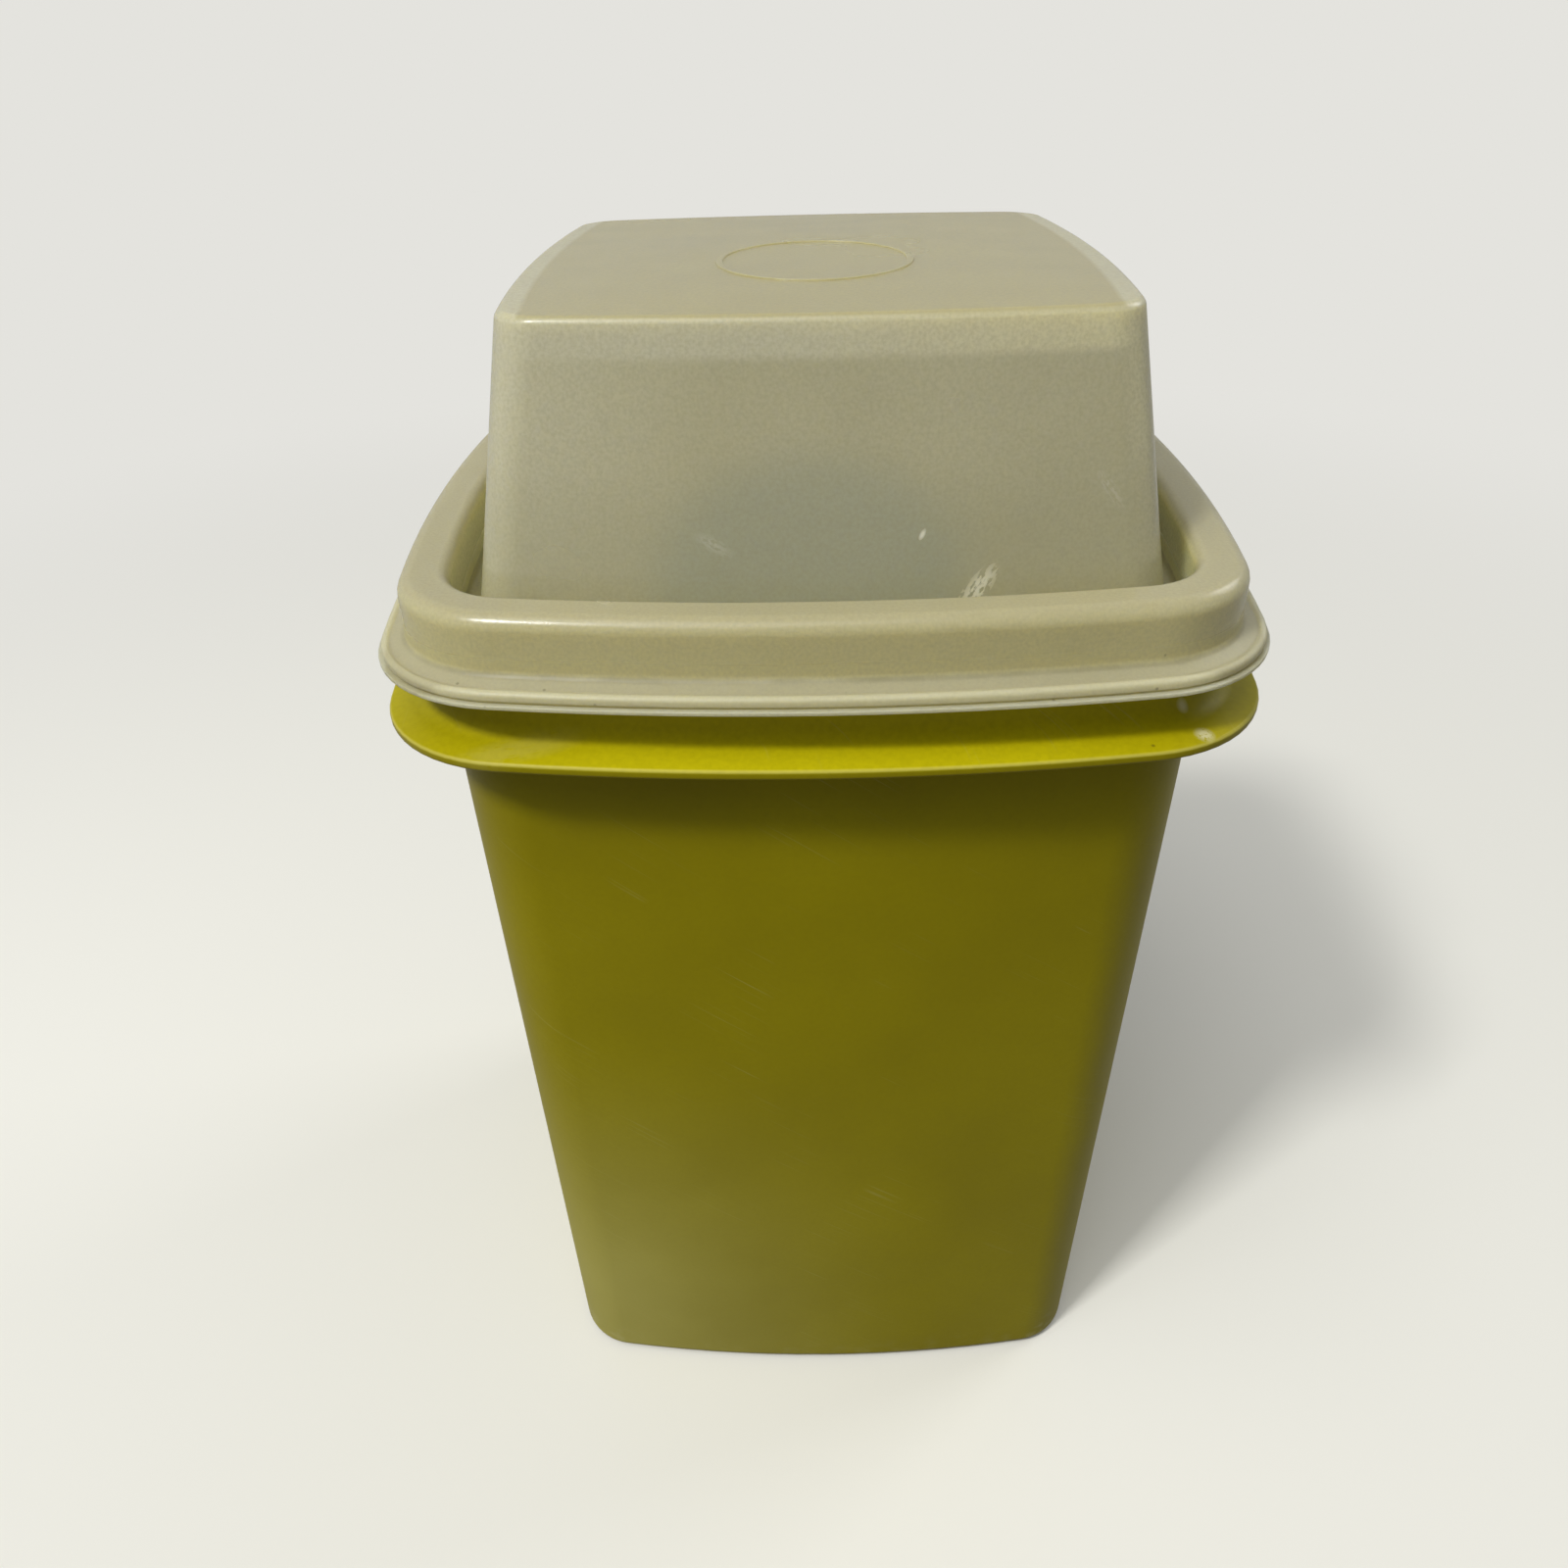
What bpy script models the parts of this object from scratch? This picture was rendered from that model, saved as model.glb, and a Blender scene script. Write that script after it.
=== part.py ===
"""Lift-out food keeper: a square canister, a perforated strainer with a bail handle, and a tall domed lid.

The pieces are three mouldings that share one plan shape, a square with gently bowed sides and round corners.
Metres, +Z up, origin at the centre of the foot the canister stands on.
"""

import math
from collections import namedtuple

import bmesh
import bpy
from mathutils import Vector

MM = 0.001

# Plan shape. A section is named by its half width, from the centre to the middle of a side.
SIDE_STEPS = 4
CORNER_STEPS = 4
WELD = 0.01 * MM                   # points nearer than this after a cut are one point
SIDE_ANGLE = math.radians(8.0)     # each side is an arc that turns this far each way from its middle
CANISTER_CORNER = 14.9 * MM        # corner radius of the canister's wall where it meets the brim
DOME_SIDE_ANGLE = math.radians(6.1)
DOME_CORNER = 7.0 * MM

# Canister
CANISTER_HALF = 61.3 * MM          # outside of the wall where it meets the brim
CANISTER_DRAFT = 0.016             # how far the wall leans out for each unit of height
CANISTER_WALL = 2.1 * MM
BRIM_HEIGHT = 166.6 * MM           # underside of the brim's root above the foot
BRIM_REACH = 9.0 * MM              # how far the brim stands out from the wall
BRIM_THICKNESS = 1.7 * MM
BRIM_FALL = 1.6 * MM               # the brim's edge lies this much below its root
BRIM_ROOT_RADIUS = 5.0 * MM        # hollow fillet between the brim's top and the rim
RIM_HEIGHT = 18.2 * MM             # from the brim's underside to the top of the rim
RIM_STEP = 1.1 * MM                # the rim is thicker than the wall by this much, outside
FOOT_WIDTH = 7.0 * MM
FOOT_RECESS = 1.2 * MM
FLOOR_THICKNESS = 2.2 * MM
HEEL_RADIUS = 2.5 * MM
INNER_HEEL_RADIUS = 4.0 * MM

# Lid
LID_WALL = 1.9 * MM
SEAT_CLEARANCE = 0.3 * MM          # between the rim and each face of the lid's channel
CHANNEL_DEPTH = 8.1 * MM           # from the top of the channel down to the skirt, outside the rim
PLUG_DEPTH = 10.0 * MM             # from the crest down to the floor of the moat, inside the rim
SKIRT_REACH = 5.4 * MM             # how far the skirt flares out from the bead
SKIRT_FALL = 1.9 * MM
SKIRT_THICKNESS = 1.3 * MM
MOAT_WIDTH = 3.1 * MM              # at the moat's floor, between the bead and the dome
DOME_HEIGHT = 44.2 * MM            # from the moat's floor to the dome's top edge
DOME_DRAFT = 0.183                 # how far the dome's wall leans in for each unit of height
DOME_EDGE_RADIUS = 2.4 * MM
DOME_CROWN = 1.3 * MM              # rise of the dome's top from its edge to its middle
BEAD_RADIUS = 3.3 * MM

# Strainer
TRAY_GAP = 2.2 * MM                # between the tray's side and the canister's wall at the tray's foot
TRAY_HEIGHT = 26.0 * MM
TRAY_WALL = 1.8 * MM
TRAY_FOOT_WIDTH = 5.0 * MM
TRAY_FOOT_RECESS = 2.4 * MM
REST_GAP = 0.3 * MM                # between the tray's foot and the canister's floor
HOLE_RADIUS = 3.2 * MM
HOLE_PITCH = 16.5 * MM
HOLES_ACROSS = 5
SLOT_WIDTH = 4.0 * MM
SLOT_HEIGHT = 11.0 * MM
SLOT_PITCH = 13.0 * MM
SLOTS_ACROSS = 5
STRAP_THICKNESS = 2.3 * MM
STRAP_FOOT_WIDTH = 58.0 * MM       # width of each arm where it leaves the tray
STRAP_GRIP_WIDTH = 30.0 * MM       # width of the handle
STRAP_RIB = 2.6 * MM               # depth of the stiffening lip along both edges
STRAP_LID_GAP = 2.4 * MM           # between an arm and the lid, where the arm passes the plug
GRIP_LID_GAP = 5.0 * MM            # between the handle and the dome above it
GRIP_CORNER_RADIUS = 14.0 * MM
ARM_BEND_RADIUS = 60.0 * MM

# Sizes that follow from the ones above
RIM_TOP = BRIM_HEIGHT + RIM_HEIGHT
CHANNEL_TOP = RIM_TOP + SEAT_CLEARANCE
CREST = CHANNEL_TOP + LID_WALL
MOAT_FLOOR = CREST - PLUG_DEPTH
PLUG_BOTTOM = MOAT_FLOOR - LID_WALL
DOME_TOP = MOAT_FLOOR + DOME_HEIGHT
FLOOR_TOP = FOOT_RECESS + FLOOR_THICKNESS
TRAY_BOTTOM = FLOOR_TOP + REST_GAP
TRAY_TOP = TRAY_BOTTOM + TRAY_HEIGHT
TRAY_FLOOR = TRAY_BOTTOM + TRAY_FOOT_RECESS + TRAY_WALL


def wall_half(z):
    """Half width of the canister's outside at height z."""
    return CANISTER_HALF - CANISTER_DRAFT * (BRIM_HEIGHT - z)


def inner_half(z):
    """Half width of the canister's inside at height z."""
    return wall_half(z) - CANISTER_WALL


RIM_HALF = CANISTER_HALF + RIM_STEP
CHANNEL_OUTER = RIM_HALF + SEAT_CLEARANCE
CHANNEL_INNER = inner_half(PLUG_BOTTOM) - SEAT_CLEARANCE
BEAD_OUTER = CHANNEL_OUTER + LID_WALL
BEAD_INNER = CHANNEL_INNER - LID_WALL
DOME_FOOT_HALF = BEAD_INNER - MOAT_WIDTH
DOME_TOP_HALF = DOME_FOOT_HALF - DOME_DRAFT * DOME_HEIGHT
TRAY_HALF = inner_half(TRAY_BOTTOM) - TRAY_GAP


# A family of sections: how far each side turns, and the half width at which the corner radius is the one given.
# Sections of a family are parallel, so a wider one has a rounder corner by as much as it is wider.
Plan = namedtuple("Plan", "angle corner at_half")
CANISTER_PLAN = Plan(SIDE_ANGLE, CANISTER_CORNER, CANISTER_HALF)
DOME_PLAN = Plan(DOME_SIDE_ANGLE, DOME_CORNER, None)
DOME_INSIDE_PLAN = Plan(DOME_SIDE_ANGLE, DOME_CORNER - LID_WALL, None)


def corner_radius(half, plan):
    """Corner radius of a section. A plan with no half width of its own keeps one radius all the way up."""
    parallel = plan.corner if plan.at_half is None else plan.corner + half - plan.at_half
    return min(max(parallel, half / 10), half / 2)


def side_radius(half, plan):
    """Radius of the arc that makes each side of a section."""
    sine, cosine = math.sin(plan.angle), math.cos(plan.angle)
    return (half + corner_radius(half, plan) * (sine - cosine)) / (1 - cosine + sine)


def section(half, z, plan):
    """The points of one section at height z, anticlockwise from above."""
    corner, side = corner_radius(half, plan), side_radius(half, plan)
    centre = (side - corner) * math.sin(plan.angle)
    quarter = []
    for step in range(SIDE_STEPS):
        turn = plan.angle * (2 * step / SIDE_STEPS - 1)
        quarter.append((half - side + side * math.cos(turn), side * math.sin(turn)))
    for step in range(CORNER_STEPS):
        turn = plan.angle + (math.pi / 2 - 2 * plan.angle) * step / CORNER_STEPS
        quarter.append((centre + corner * math.cos(turn), centre + corner * math.sin(turn)))
    points = []
    for side_number in range(4):
        turn = side_number * math.pi / 2
        for x, y in quarter:
            points.append(Vector((
                x * math.cos(turn) - y * math.sin(turn),
                x * math.sin(turn) + y * math.cos(turn),
                z,
            )))
    return points


def filleted(outline, steps=3):
    """A polyline of (across, up, radius) with each corner that has a radius made an arc."""
    points = []
    for index, (across, up, radius) in enumerate(outline):
        here = Vector((across, up))
        if not radius:
            points.append(here)
            continue
        before = Vector(outline[index - 1][:2]) - here
        after = Vector(outline[index + 1][:2]) - here
        half_turn = before.angle(after) / 2
        reach = radius / math.tan(half_turn)
        middle = here + (before.normalized() + after.normalized()).normalized() * (radius / math.sin(half_turn))
        start = here + before.normalized() * reach - middle
        end = here + after.normalized() * reach - middle
        sweep = start.angle_signed(end)
        for step in range(steps + 1):
            turn = -sweep * step / steps
            points.append(middle + Vector((
                start.x * math.cos(turn) - start.y * math.sin(turn),
                start.x * math.sin(turn) + start.y * math.cos(turn),
            )))
    return points


def crowned(half, z, rise, steps=3):
    """A crowned panel's outline, from its flat middle out towards its edge, without the edge itself."""
    return [(half * step / steps, z + rise * (1 - (step / steps) ** 2), 0) for step in range(1, steps)]


def loft(name, stretches):
    """A closed solid through the sections that each stretch's outline names, with a flat panel at each end."""
    shape = bmesh.new()
    rows = []
    for plan, outline in stretches:
        for across, up in outline:
            rows.append([shape.verts.new(point) for point in section(across, up, plan)])
    for lower, upper in zip(rows, rows[1:]):
        for index in range(len(lower)):
            following = (index + 1) % len(lower)
            shape.faces.new((lower[index], lower[following], upper[following], upper[index]))
    shape.faces.new(rows[0])
    shape.faces.new(rows[-1])
    bmesh.ops.recalc_face_normals(shape, faces=shape.faces)
    mesh = bpy.data.meshes.new(name)
    shape.to_mesh(mesh)
    shape.free()
    return place(name, mesh)


def place(name, mesh, collection="food_keeper"):
    """A mesh as an object in a collection, smooth where it is round."""
    thing = bpy.data.objects.new(name, mesh)
    bpy.data.collections[collection].objects.link(thing)
    mesh.shade_smooth()
    mesh.set_sharp_from_angle(angle=math.radians(30))
    return thing


def plastic(name, colour, roughness, transmission=0.0):
    """A moulded plastic with its colour in linear light."""
    material = bpy.data.materials.new(name)
    material.use_nodes = True
    shader = material.node_tree.nodes["Principled BSDF"]
    shader.inputs["Base Color"].default_value = (*colour, 1)
    shader.inputs["Roughness"].default_value = roughness
    shader.inputs["Metallic"].default_value = 0.0
    shader.inputs["Transmission Weight"].default_value = transmission
    return material


def boolean(thing, other, operation):
    """Cuts a helper from a piece, or joins it on, and takes the helper away."""
    modifier = thing.modifiers.new(other.name, "BOOLEAN")
    modifier.operation = operation
    modifier.object = other
    graph = bpy.context.evaluated_depsgraph_get()
    made = bpy.data.meshes.new_from_object(thing.evaluated_get(graph))
    shape = bmesh.new()
    shape.from_mesh(made)
    bmesh.ops.remove_doubles(shape, verts=shape.verts, dist=WELD)
    shape.to_mesh(made)
    shape.free()
    thing.modifiers.clear()
    thing.data = made
    bpy.data.objects.remove(other)


def build_canister():
    """Tapered wall on a shallow foot, a flat brim near the top and a thicker rim that the lid seals on."""
    brim_edge = CANISTER_HALF + BRIM_REACH
    brim_top = BRIM_HEIGHT + BRIM_THICKNESS
    foot_inner = wall_half(0) - FOOT_WIDTH
    outline = [
        (foot_inner - FOOT_RECESS, FOOT_RECESS, 0),
        (foot_inner, 0, 0),
        (wall_half(0), 0, HEEL_RADIUS),
        (CANISTER_HALF, BRIM_HEIGHT, 0.8 * MM),
        (brim_edge, BRIM_HEIGHT - BRIM_FALL, 0.5 * MM),
        (brim_edge, brim_top - BRIM_FALL, 0.5 * MM),
        (RIM_HALF, brim_top, BRIM_ROOT_RADIUS),
        (RIM_HALF, RIM_TOP, 1.1 * MM),
        (inner_half(RIM_TOP), RIM_TOP, 1.1 * MM),
        (inner_half(FLOOR_TOP), FLOOR_TOP, INNER_HEEL_RADIUS),
        (wall_half(0) / 2, FLOOR_TOP, 0),
    ]
    canister = loft("canister", [(CANISTER_PLAN, filleted(outline))])
    canister.data.materials.append(plastic("canister_green", (0.195, 0.175, 0.004), 0.42))


def build_lid():
    """One thin moulding: a dome, a moat round it, a bead that caps the canister's rim, and a flared skirt."""
    skirt_edge = BEAD_OUTER + SKIRT_REACH
    skirt_root = CREST - CHANNEL_DEPTH
    skirt_under = skirt_root - SKIRT_THICKNESS
    inner_top = DOME_TOP - LID_WALL
    dome_inner_top = DOME_TOP_HALF + DOME_DRAFT * LID_WALL - LID_WALL
    dome_inner_foot = DOME_FOOT_HALF + DOME_DRAFT * LID_WALL - LID_WALL
    dome_outside = [
        *crowned(DOME_TOP_HALF, DOME_TOP, DOME_CROWN),
        (DOME_TOP_HALF, DOME_TOP, DOME_EDGE_RADIUS),
        (DOME_FOOT_HALF, MOAT_FLOOR, 0),
    ]
    ring = [
        (BEAD_INNER, MOAT_FLOOR, 0),
        (BEAD_INNER, CREST, BEAD_RADIUS),
        (BEAD_OUTER, CREST, BEAD_RADIUS),
        (BEAD_OUTER, skirt_root, 0.8 * MM),
        (skirt_edge, skirt_root - SKIRT_FALL, 0.4 * MM),
        (skirt_edge, skirt_under - SKIRT_FALL, 0.4 * MM),
        (CHANNEL_OUTER, skirt_under, 0.4 * MM),
        (CHANNEL_OUTER, CHANNEL_TOP, 1.2 * MM),
        (CHANNEL_INNER, CHANNEL_TOP, 1.2 * MM),
        (CHANNEL_INNER, PLUG_BOTTOM, 0),
    ]
    dome_inside = [
        (dome_inner_foot, PLUG_BOTTOM, 0),
        (dome_inner_top, inner_top, 1.2 * MM),
        *reversed(crowned(dome_inner_top, inner_top, DOME_CROWN)),
    ]
    lid = loft("lid", [
        (DOME_PLAN, filleted(dome_outside)),
        (CANISTER_PLAN, filleted(ring)),
        (DOME_INSIDE_PLAN, filleted(dome_inside)),
    ])
    lid.data.materials.append(plastic("lid_frosted", (0.62, 0.58, 0.40), 0.38, 0.35))


def drain_cutter(name, mesh_shape, x, y, z):
    """A cutter object made from a bmesh, at a place."""
    mesh = bpy.data.meshes.new(name)
    mesh_shape.to_mesh(mesh)
    mesh_shape.free()
    cutter = place(name, mesh, "cutters")
    cutter.location = (x, y, z)
    cutter.hide_render = True
    cutter.display_type = "WIRE"
    return cutter


def cut_drain_holes(tray):
    """A square grid of round holes through the tray's floor."""
    middle = (HOLES_ACROSS - 1) / 2
    cutters = bmesh.new()
    for column in range(HOLES_ACROSS):
        for row in range(HOLES_ACROSS):
            made = bmesh.ops.create_cone(
                cutters, cap_ends=True, segments=12,
                radius1=HOLE_RADIUS, radius2=HOLE_RADIUS, depth=4 * TRAY_FOOT_RECESS,
            )
            offset = ((column - middle) * HOLE_PITCH, (row - middle) * HOLE_PITCH, 0)
            bmesh.ops.translate(cutters, verts=made["verts"], vec=offset)
    boolean(tray, drain_cutter("drain_holes", cutters, 0, 0, TRAY_FLOOR), "DIFFERENCE")


def cut_drain_slots(tray):
    """A row of upright slots through the two walls of the tray that carry no arm."""
    middle = (SLOTS_ACROSS - 1) / 2
    slot_z = (TRAY_FLOOR + TRAY_TOP) / 2
    cutters = bmesh.new()
    for side in (-1, 1):
        for column in range(SLOTS_ACROSS):
            made = bmesh.ops.create_cube(cutters, size=1)
            size = (SLOT_WIDTH, 6 * TRAY_WALL + TRAY_GAP, SLOT_HEIGHT)
            bmesh.ops.scale(cutters, verts=made["verts"], vec=size)
            offset = ((column - middle) * SLOT_PITCH, side * TRAY_HALF, 0)
            bmesh.ops.translate(cutters, verts=made["verts"], vec=offset)
    boolean(tray, drain_cutter("drain_slots", cutters, 0, 0, slot_z), "DIFFERENCE")


def strap_path():
    """Centre line of the bail, seen from the front: up one arm, over the handle and down the other."""
    foot_z = TRAY_BOTTOM + 3.0 * MM
    foot_x = TRAY_HALF - TRAY_WALL / 2
    waist_x = DOME_FOOT_HALF - LID_WALL - STRAP_LID_GAP - STRAP_THICKNESS / 2
    grip_z = DOME_TOP - LID_WALL - GRIP_LID_GAP - STRAP_THICKNESS / 2
    grip_x = waist_x - DOME_DRAFT * (grip_z - PLUG_BOTTOM)
    right = [
        (foot_x, foot_z, 0),
        (waist_x, PLUG_BOTTOM, ARM_BEND_RADIUS),
        (grip_x, grip_z, GRIP_CORNER_RADIUS),
    ]
    left = [(-x, z, radius) for x, z, radius in reversed(right)]
    return filleted(right + left, steps=5)


def strap_width(z):
    """The arms narrow in a smooth curve from the tray up to the brim, and keep the handle's width above it."""
    share = min(max((z - TRAY_TOP) / (BRIM_HEIGHT - TRAY_TOP), 0), 1)
    ease = 1 - (1 - share) ** 2
    return STRAP_FOOT_WIDTH + (STRAP_GRIP_WIDTH - STRAP_FOOT_WIDTH) * ease


def refined(path, longest):
    """The same path with its long stretches divided."""
    points = [path[0]]
    for start, end in zip(path, path[1:]):
        pieces = max(1, math.ceil((end - start).length / longest))
        points += [start.lerp(end, piece / pieces) for piece in range(1, pieces + 1)]
    return points


def build_strap():
    """The bail as an open strip with a lip along both edges, given its thickness by Solidify."""
    path = refined(strap_path(), 24 * MM)
    across = (-1, -1, -0.5, 0, 0.5, 1, 1)
    bow_radius = side_radius(TRAY_HALF, CANISTER_PLAN)
    shape = bmesh.new()
    rows = []
    for index, point in enumerate(path):
        along = path[min(index + 1, len(path) - 1)] - path[max(index - 1, 0)]
        inward = Vector((-along.y, along.x)).normalized()
        half = strap_width(point.y) / 2
        row = []
        for place_number, share in enumerate(across):
            y = share * half
            depth = y * y / (2 * bow_radius)
            if place_number in (0, len(across) - 1):
                depth += STRAP_RIB
            spot = point + inward * depth
            row.append(shape.verts.new((spot.x, y, spot.y)))
        rows.append(row)
    for row, following in zip(rows, rows[1:]):
        for index in range(len(across) - 1):
            shape.faces.new((row[index], row[index + 1], following[index + 1], following[index]))
    bmesh.ops.recalc_face_normals(shape, faces=shape.faces)
    mesh = bpy.data.meshes.new("bail")
    shape.to_mesh(mesh)
    shape.free()
    strap = place("bail", mesh)
    solidify = strap.modifiers.new("thickness", "SOLIDIFY")
    solidify.thickness = STRAP_THICKNESS
    solidify.offset = 0
    solidify.use_even_offset = True
    return strap


def build_strainer():
    """A perforated tray on a low foot, moulded in one piece with the bail that lifts it."""
    foot_inner = TRAY_HALF - TRAY_FOOT_WIDTH
    underside = TRAY_BOTTOM + TRAY_FOOT_RECESS
    outline = [
        (foot_inner - TRAY_FOOT_RECESS, underside, 0),
        (foot_inner, TRAY_BOTTOM, 0),
        (TRAY_HALF, TRAY_BOTTOM, 2.0 * MM),
        (TRAY_HALF, TRAY_TOP, 0.7 * MM),
        (TRAY_HALF - TRAY_WALL, TRAY_TOP, 0.7 * MM),
        (TRAY_HALF - TRAY_WALL, TRAY_FLOOR, 1.6 * MM),
        (foot_inner - TRAY_FOOT_RECESS, TRAY_FLOOR, 0),
    ]
    strainer = loft("strainer", [(CANISTER_PLAN, filleted(outline))])
    cut_drain_holes(strainer)
    cut_drain_slots(strainer)
    boolean(strainer, build_strap(), "UNION")
    strainer.data.materials.clear()
    strainer.data.materials.append(plastic("strainer_natural", (0.68, 0.66, 0.56), 0.4, 0.2))


def main():
    for thing in list(bpy.data.objects):
        bpy.data.objects.remove(thing)
    for name in ("food_keeper", "cutters"):
        bpy.context.scene.collection.children.link(bpy.data.collections.new(name))
    build_canister()
    build_lid()
    build_strainer()


main()
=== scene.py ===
# %% [markdown]
# # A food keeper with a lift-out strainer
#
# This is a small kitchen container of the 1970s in three soft plastic mouldings. A square canister in olive
# green holds pickles in their brine. A strainer with a tall handle stands inside it and lifts them out. A
# frosted lid with a high dome presses onto the rim, and the dome makes room for the handle.
#
# The model of how it fits and moves is finished, and comes in as a fixed frame. This script makes the
# surfaces that the eye sees round that frame, then the plastics, and then a plain studio to look at them in.

# %% The frame
import math
from collections import namedtuple
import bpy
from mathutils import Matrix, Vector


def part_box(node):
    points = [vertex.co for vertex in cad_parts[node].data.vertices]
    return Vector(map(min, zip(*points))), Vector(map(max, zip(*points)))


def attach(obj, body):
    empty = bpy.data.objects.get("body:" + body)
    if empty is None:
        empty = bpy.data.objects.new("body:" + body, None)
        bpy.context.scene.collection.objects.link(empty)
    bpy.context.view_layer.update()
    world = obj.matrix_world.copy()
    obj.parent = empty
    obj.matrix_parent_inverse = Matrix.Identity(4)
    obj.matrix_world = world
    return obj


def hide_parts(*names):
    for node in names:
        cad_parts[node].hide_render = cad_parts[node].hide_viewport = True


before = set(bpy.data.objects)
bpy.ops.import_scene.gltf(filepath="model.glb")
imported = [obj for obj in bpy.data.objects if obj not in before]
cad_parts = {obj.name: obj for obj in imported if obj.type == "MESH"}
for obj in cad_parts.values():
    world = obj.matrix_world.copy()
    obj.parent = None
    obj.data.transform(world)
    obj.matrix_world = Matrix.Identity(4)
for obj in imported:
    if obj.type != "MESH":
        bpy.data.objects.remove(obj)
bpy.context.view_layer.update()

from types import SimpleNamespace

import bmesh
import bpy
from mathutils import Matrix, Vector

# %% [markdown]
# ## Sizes
#
# Everything is in metres, so a millimetre gets a name. The heights and widths that the frame already knows
# are read from it. The rest are the wall thicknesses and radii of the real mouldings, which are worth naming
# because the same few numbers come back in every piece: a lid only fits its rim if both use the same ones.

# %% Sizes read from the frame
MM = 0.001

_, canister_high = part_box("canister")
lid_low, lid_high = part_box("lid")
strainer_low, strainer_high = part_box("strainer")

BRIM_HALF = canister_high.x
RIM_TOP = canister_high.z
SKIRT_HALF = lid_high.x
PLUG_BOTTOM = lid_low.z
TRAY_HALF = strainer_high.y
TRAY_BOTTOM = strainer_low.z
print(f"brim {2 * BRIM_HALF / MM:.1f} mm across, rim {RIM_TOP / MM:.1f} mm up, "
      f"lid's top {lid_high.z / MM:.1f} mm up")

# %% Sizes of the canister
CANISTER_WALL = 2.1 * MM
CANISTER_DRAFT = 0.016          # the wall leans out this much for each unit of height
WALL_AT_BRIM = 61.3 * MM        # half the canister's width where the wall meets the brim
BRIM_ROOT = RIM_TOP - 18.2 * MM
BRIM_FALL = 1.6 * MM
BRIM_THICKNESS = 1.7 * MM
RIM_HALF = WALL_AT_BRIM + 1.1 * MM
FOOT_WIDTH = 7.0 * MM
FOOT_RECESS = 1.2 * MM
FLOOR_TOP = 3.4 * MM
FLAT_MARGIN = 12.0 * MM         # a floor is plain and flat from this far inside its wall

# %% Sizes of the lid
LID_WALL = 1.9 * MM
SEAT_CLEARANCE = 0.3 * MM
CHANNEL_TOP = RIM_TOP + SEAT_CLEARANCE
CREST = CHANNEL_TOP + LID_WALL
MOAT_FLOOR = PLUG_BOTTOM + LID_WALL
MOAT_WIDTH = 3.1 * MM
DOME_DRAFT = 0.183
DOME_TOP = MOAT_FLOOR + 44.2 * MM
DOME_CROWN = lid_high.z - DOME_TOP


def wall_half(height):
    """Half width of the canister's outside at a height."""
    return WALL_AT_BRIM - CANISTER_DRAFT * (BRIM_ROOT - height)


def inner_half(height):
    """Half width of the canister's inside at a height."""
    return wall_half(height) - CANISTER_WALL


CHANNEL_OUTER = RIM_HALF + SEAT_CLEARANCE
CHANNEL_INNER = inner_half(PLUG_BOTTOM) - SEAT_CLEARANCE
BEAD_OUTER = CHANNEL_OUTER + 2.7 * MM      # the wall that is peeled back is the thickest
BEAD_INNER = CHANNEL_INNER - LID_WALL
DOME_FOOT_HALF = BEAD_INNER - MOAT_WIDTH
DOME_TOP_HALF = DOME_FOOT_HALF - DOME_DRAFT * (DOME_TOP - MOAT_FLOOR)
print(f"bead {2 * BEAD_OUTER / MM:.1f} mm across, dome {2 * DOME_TOP_HALF / MM:.1f} mm across at its top")

# %% [markdown]
# ## One plan shape for every piece
#
# Seen from above, each moulding is a square with gently bowed sides and round corners. A bowed side keeps a
# thin wall from sagging in, and a press-on lid needs it to seal along the middle of each side. A plan is a
# chain of eight arcs that meet without a kink: four long ones for the sides and four short ones for the
# corners. Sections of one family are parallel, so a wider one has a rounder corner by as much as it is
# wider, and a wall between two of them has the same thickness all the way round.

# %% The plan shape
SIDE_STEPS = 14
CORNER_STEPS = 12

Plan = namedtuple("Plan", "angle corner at_half")
BODY_PLAN = Plan(math.radians(8.0), 14.9 * MM, WALL_AT_BRIM)
DOME_PLAN = Plan(math.radians(6.1), 7.0 * MM, None)
DOME_INSIDE_PLAN = Plan(math.radians(6.1), 7.0 * MM - LID_WALL, None)


def corner_radius(half, plan):
    """Corner radius of a section of that half width."""
    parallel = plan.corner if plan.at_half is None else plan.corner + half - plan.at_half
    return min(max(parallel, half / 10), half / 2)


def side_radius(half, plan):
    """Radius of the long arc that makes each side."""
    sine, cosine = math.sin(plan.angle), math.cos(plan.angle)
    return (half + corner_radius(half, plan) * (sine - cosine)) / (1 - cosine + sine)


def section(half, height, plan):
    """The points of one section, anticlockwise from above, starting near the corner at +X and -Y."""
    corner, side = corner_radius(half, plan), side_radius(half, plan)
    centre = (side - corner) * math.sin(plan.angle)
    quarter = []
    for step in range(SIDE_STEPS):
        turn = plan.angle * (2 * step / SIDE_STEPS - 1)
        quarter.append(Vector((half - side + side * math.cos(turn), side * math.sin(turn), height)))
    for step in range(CORNER_STEPS):
        turn = plan.angle + (math.pi / 2 - 2 * plan.angle) * step / CORNER_STEPS
        quarter.append(Vector((centre + corner * math.cos(turn), centre + corner * math.sin(turn), height)))
    quarter_turns = [Matrix.Rotation(side_number * math.pi / 2, 3, "Z") for side_number in range(4)]
    return [turned @ point for turned in quarter_turns for point in quarter]


def oval(half_x, half_y, height_at, centre_y=0.0):
    """As many points as a section has, in the same directions, on an oval that lies on a surface."""
    points = []
    for point in section(half_x, 0, DOME_PLAN):
        turn = math.atan2(point.y, point.x)
        x, y = half_x * math.cos(turn), centre_y + half_y * math.sin(turn)
        points.append(Vector((x, y, height_at(x, y))))
    return points


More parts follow.
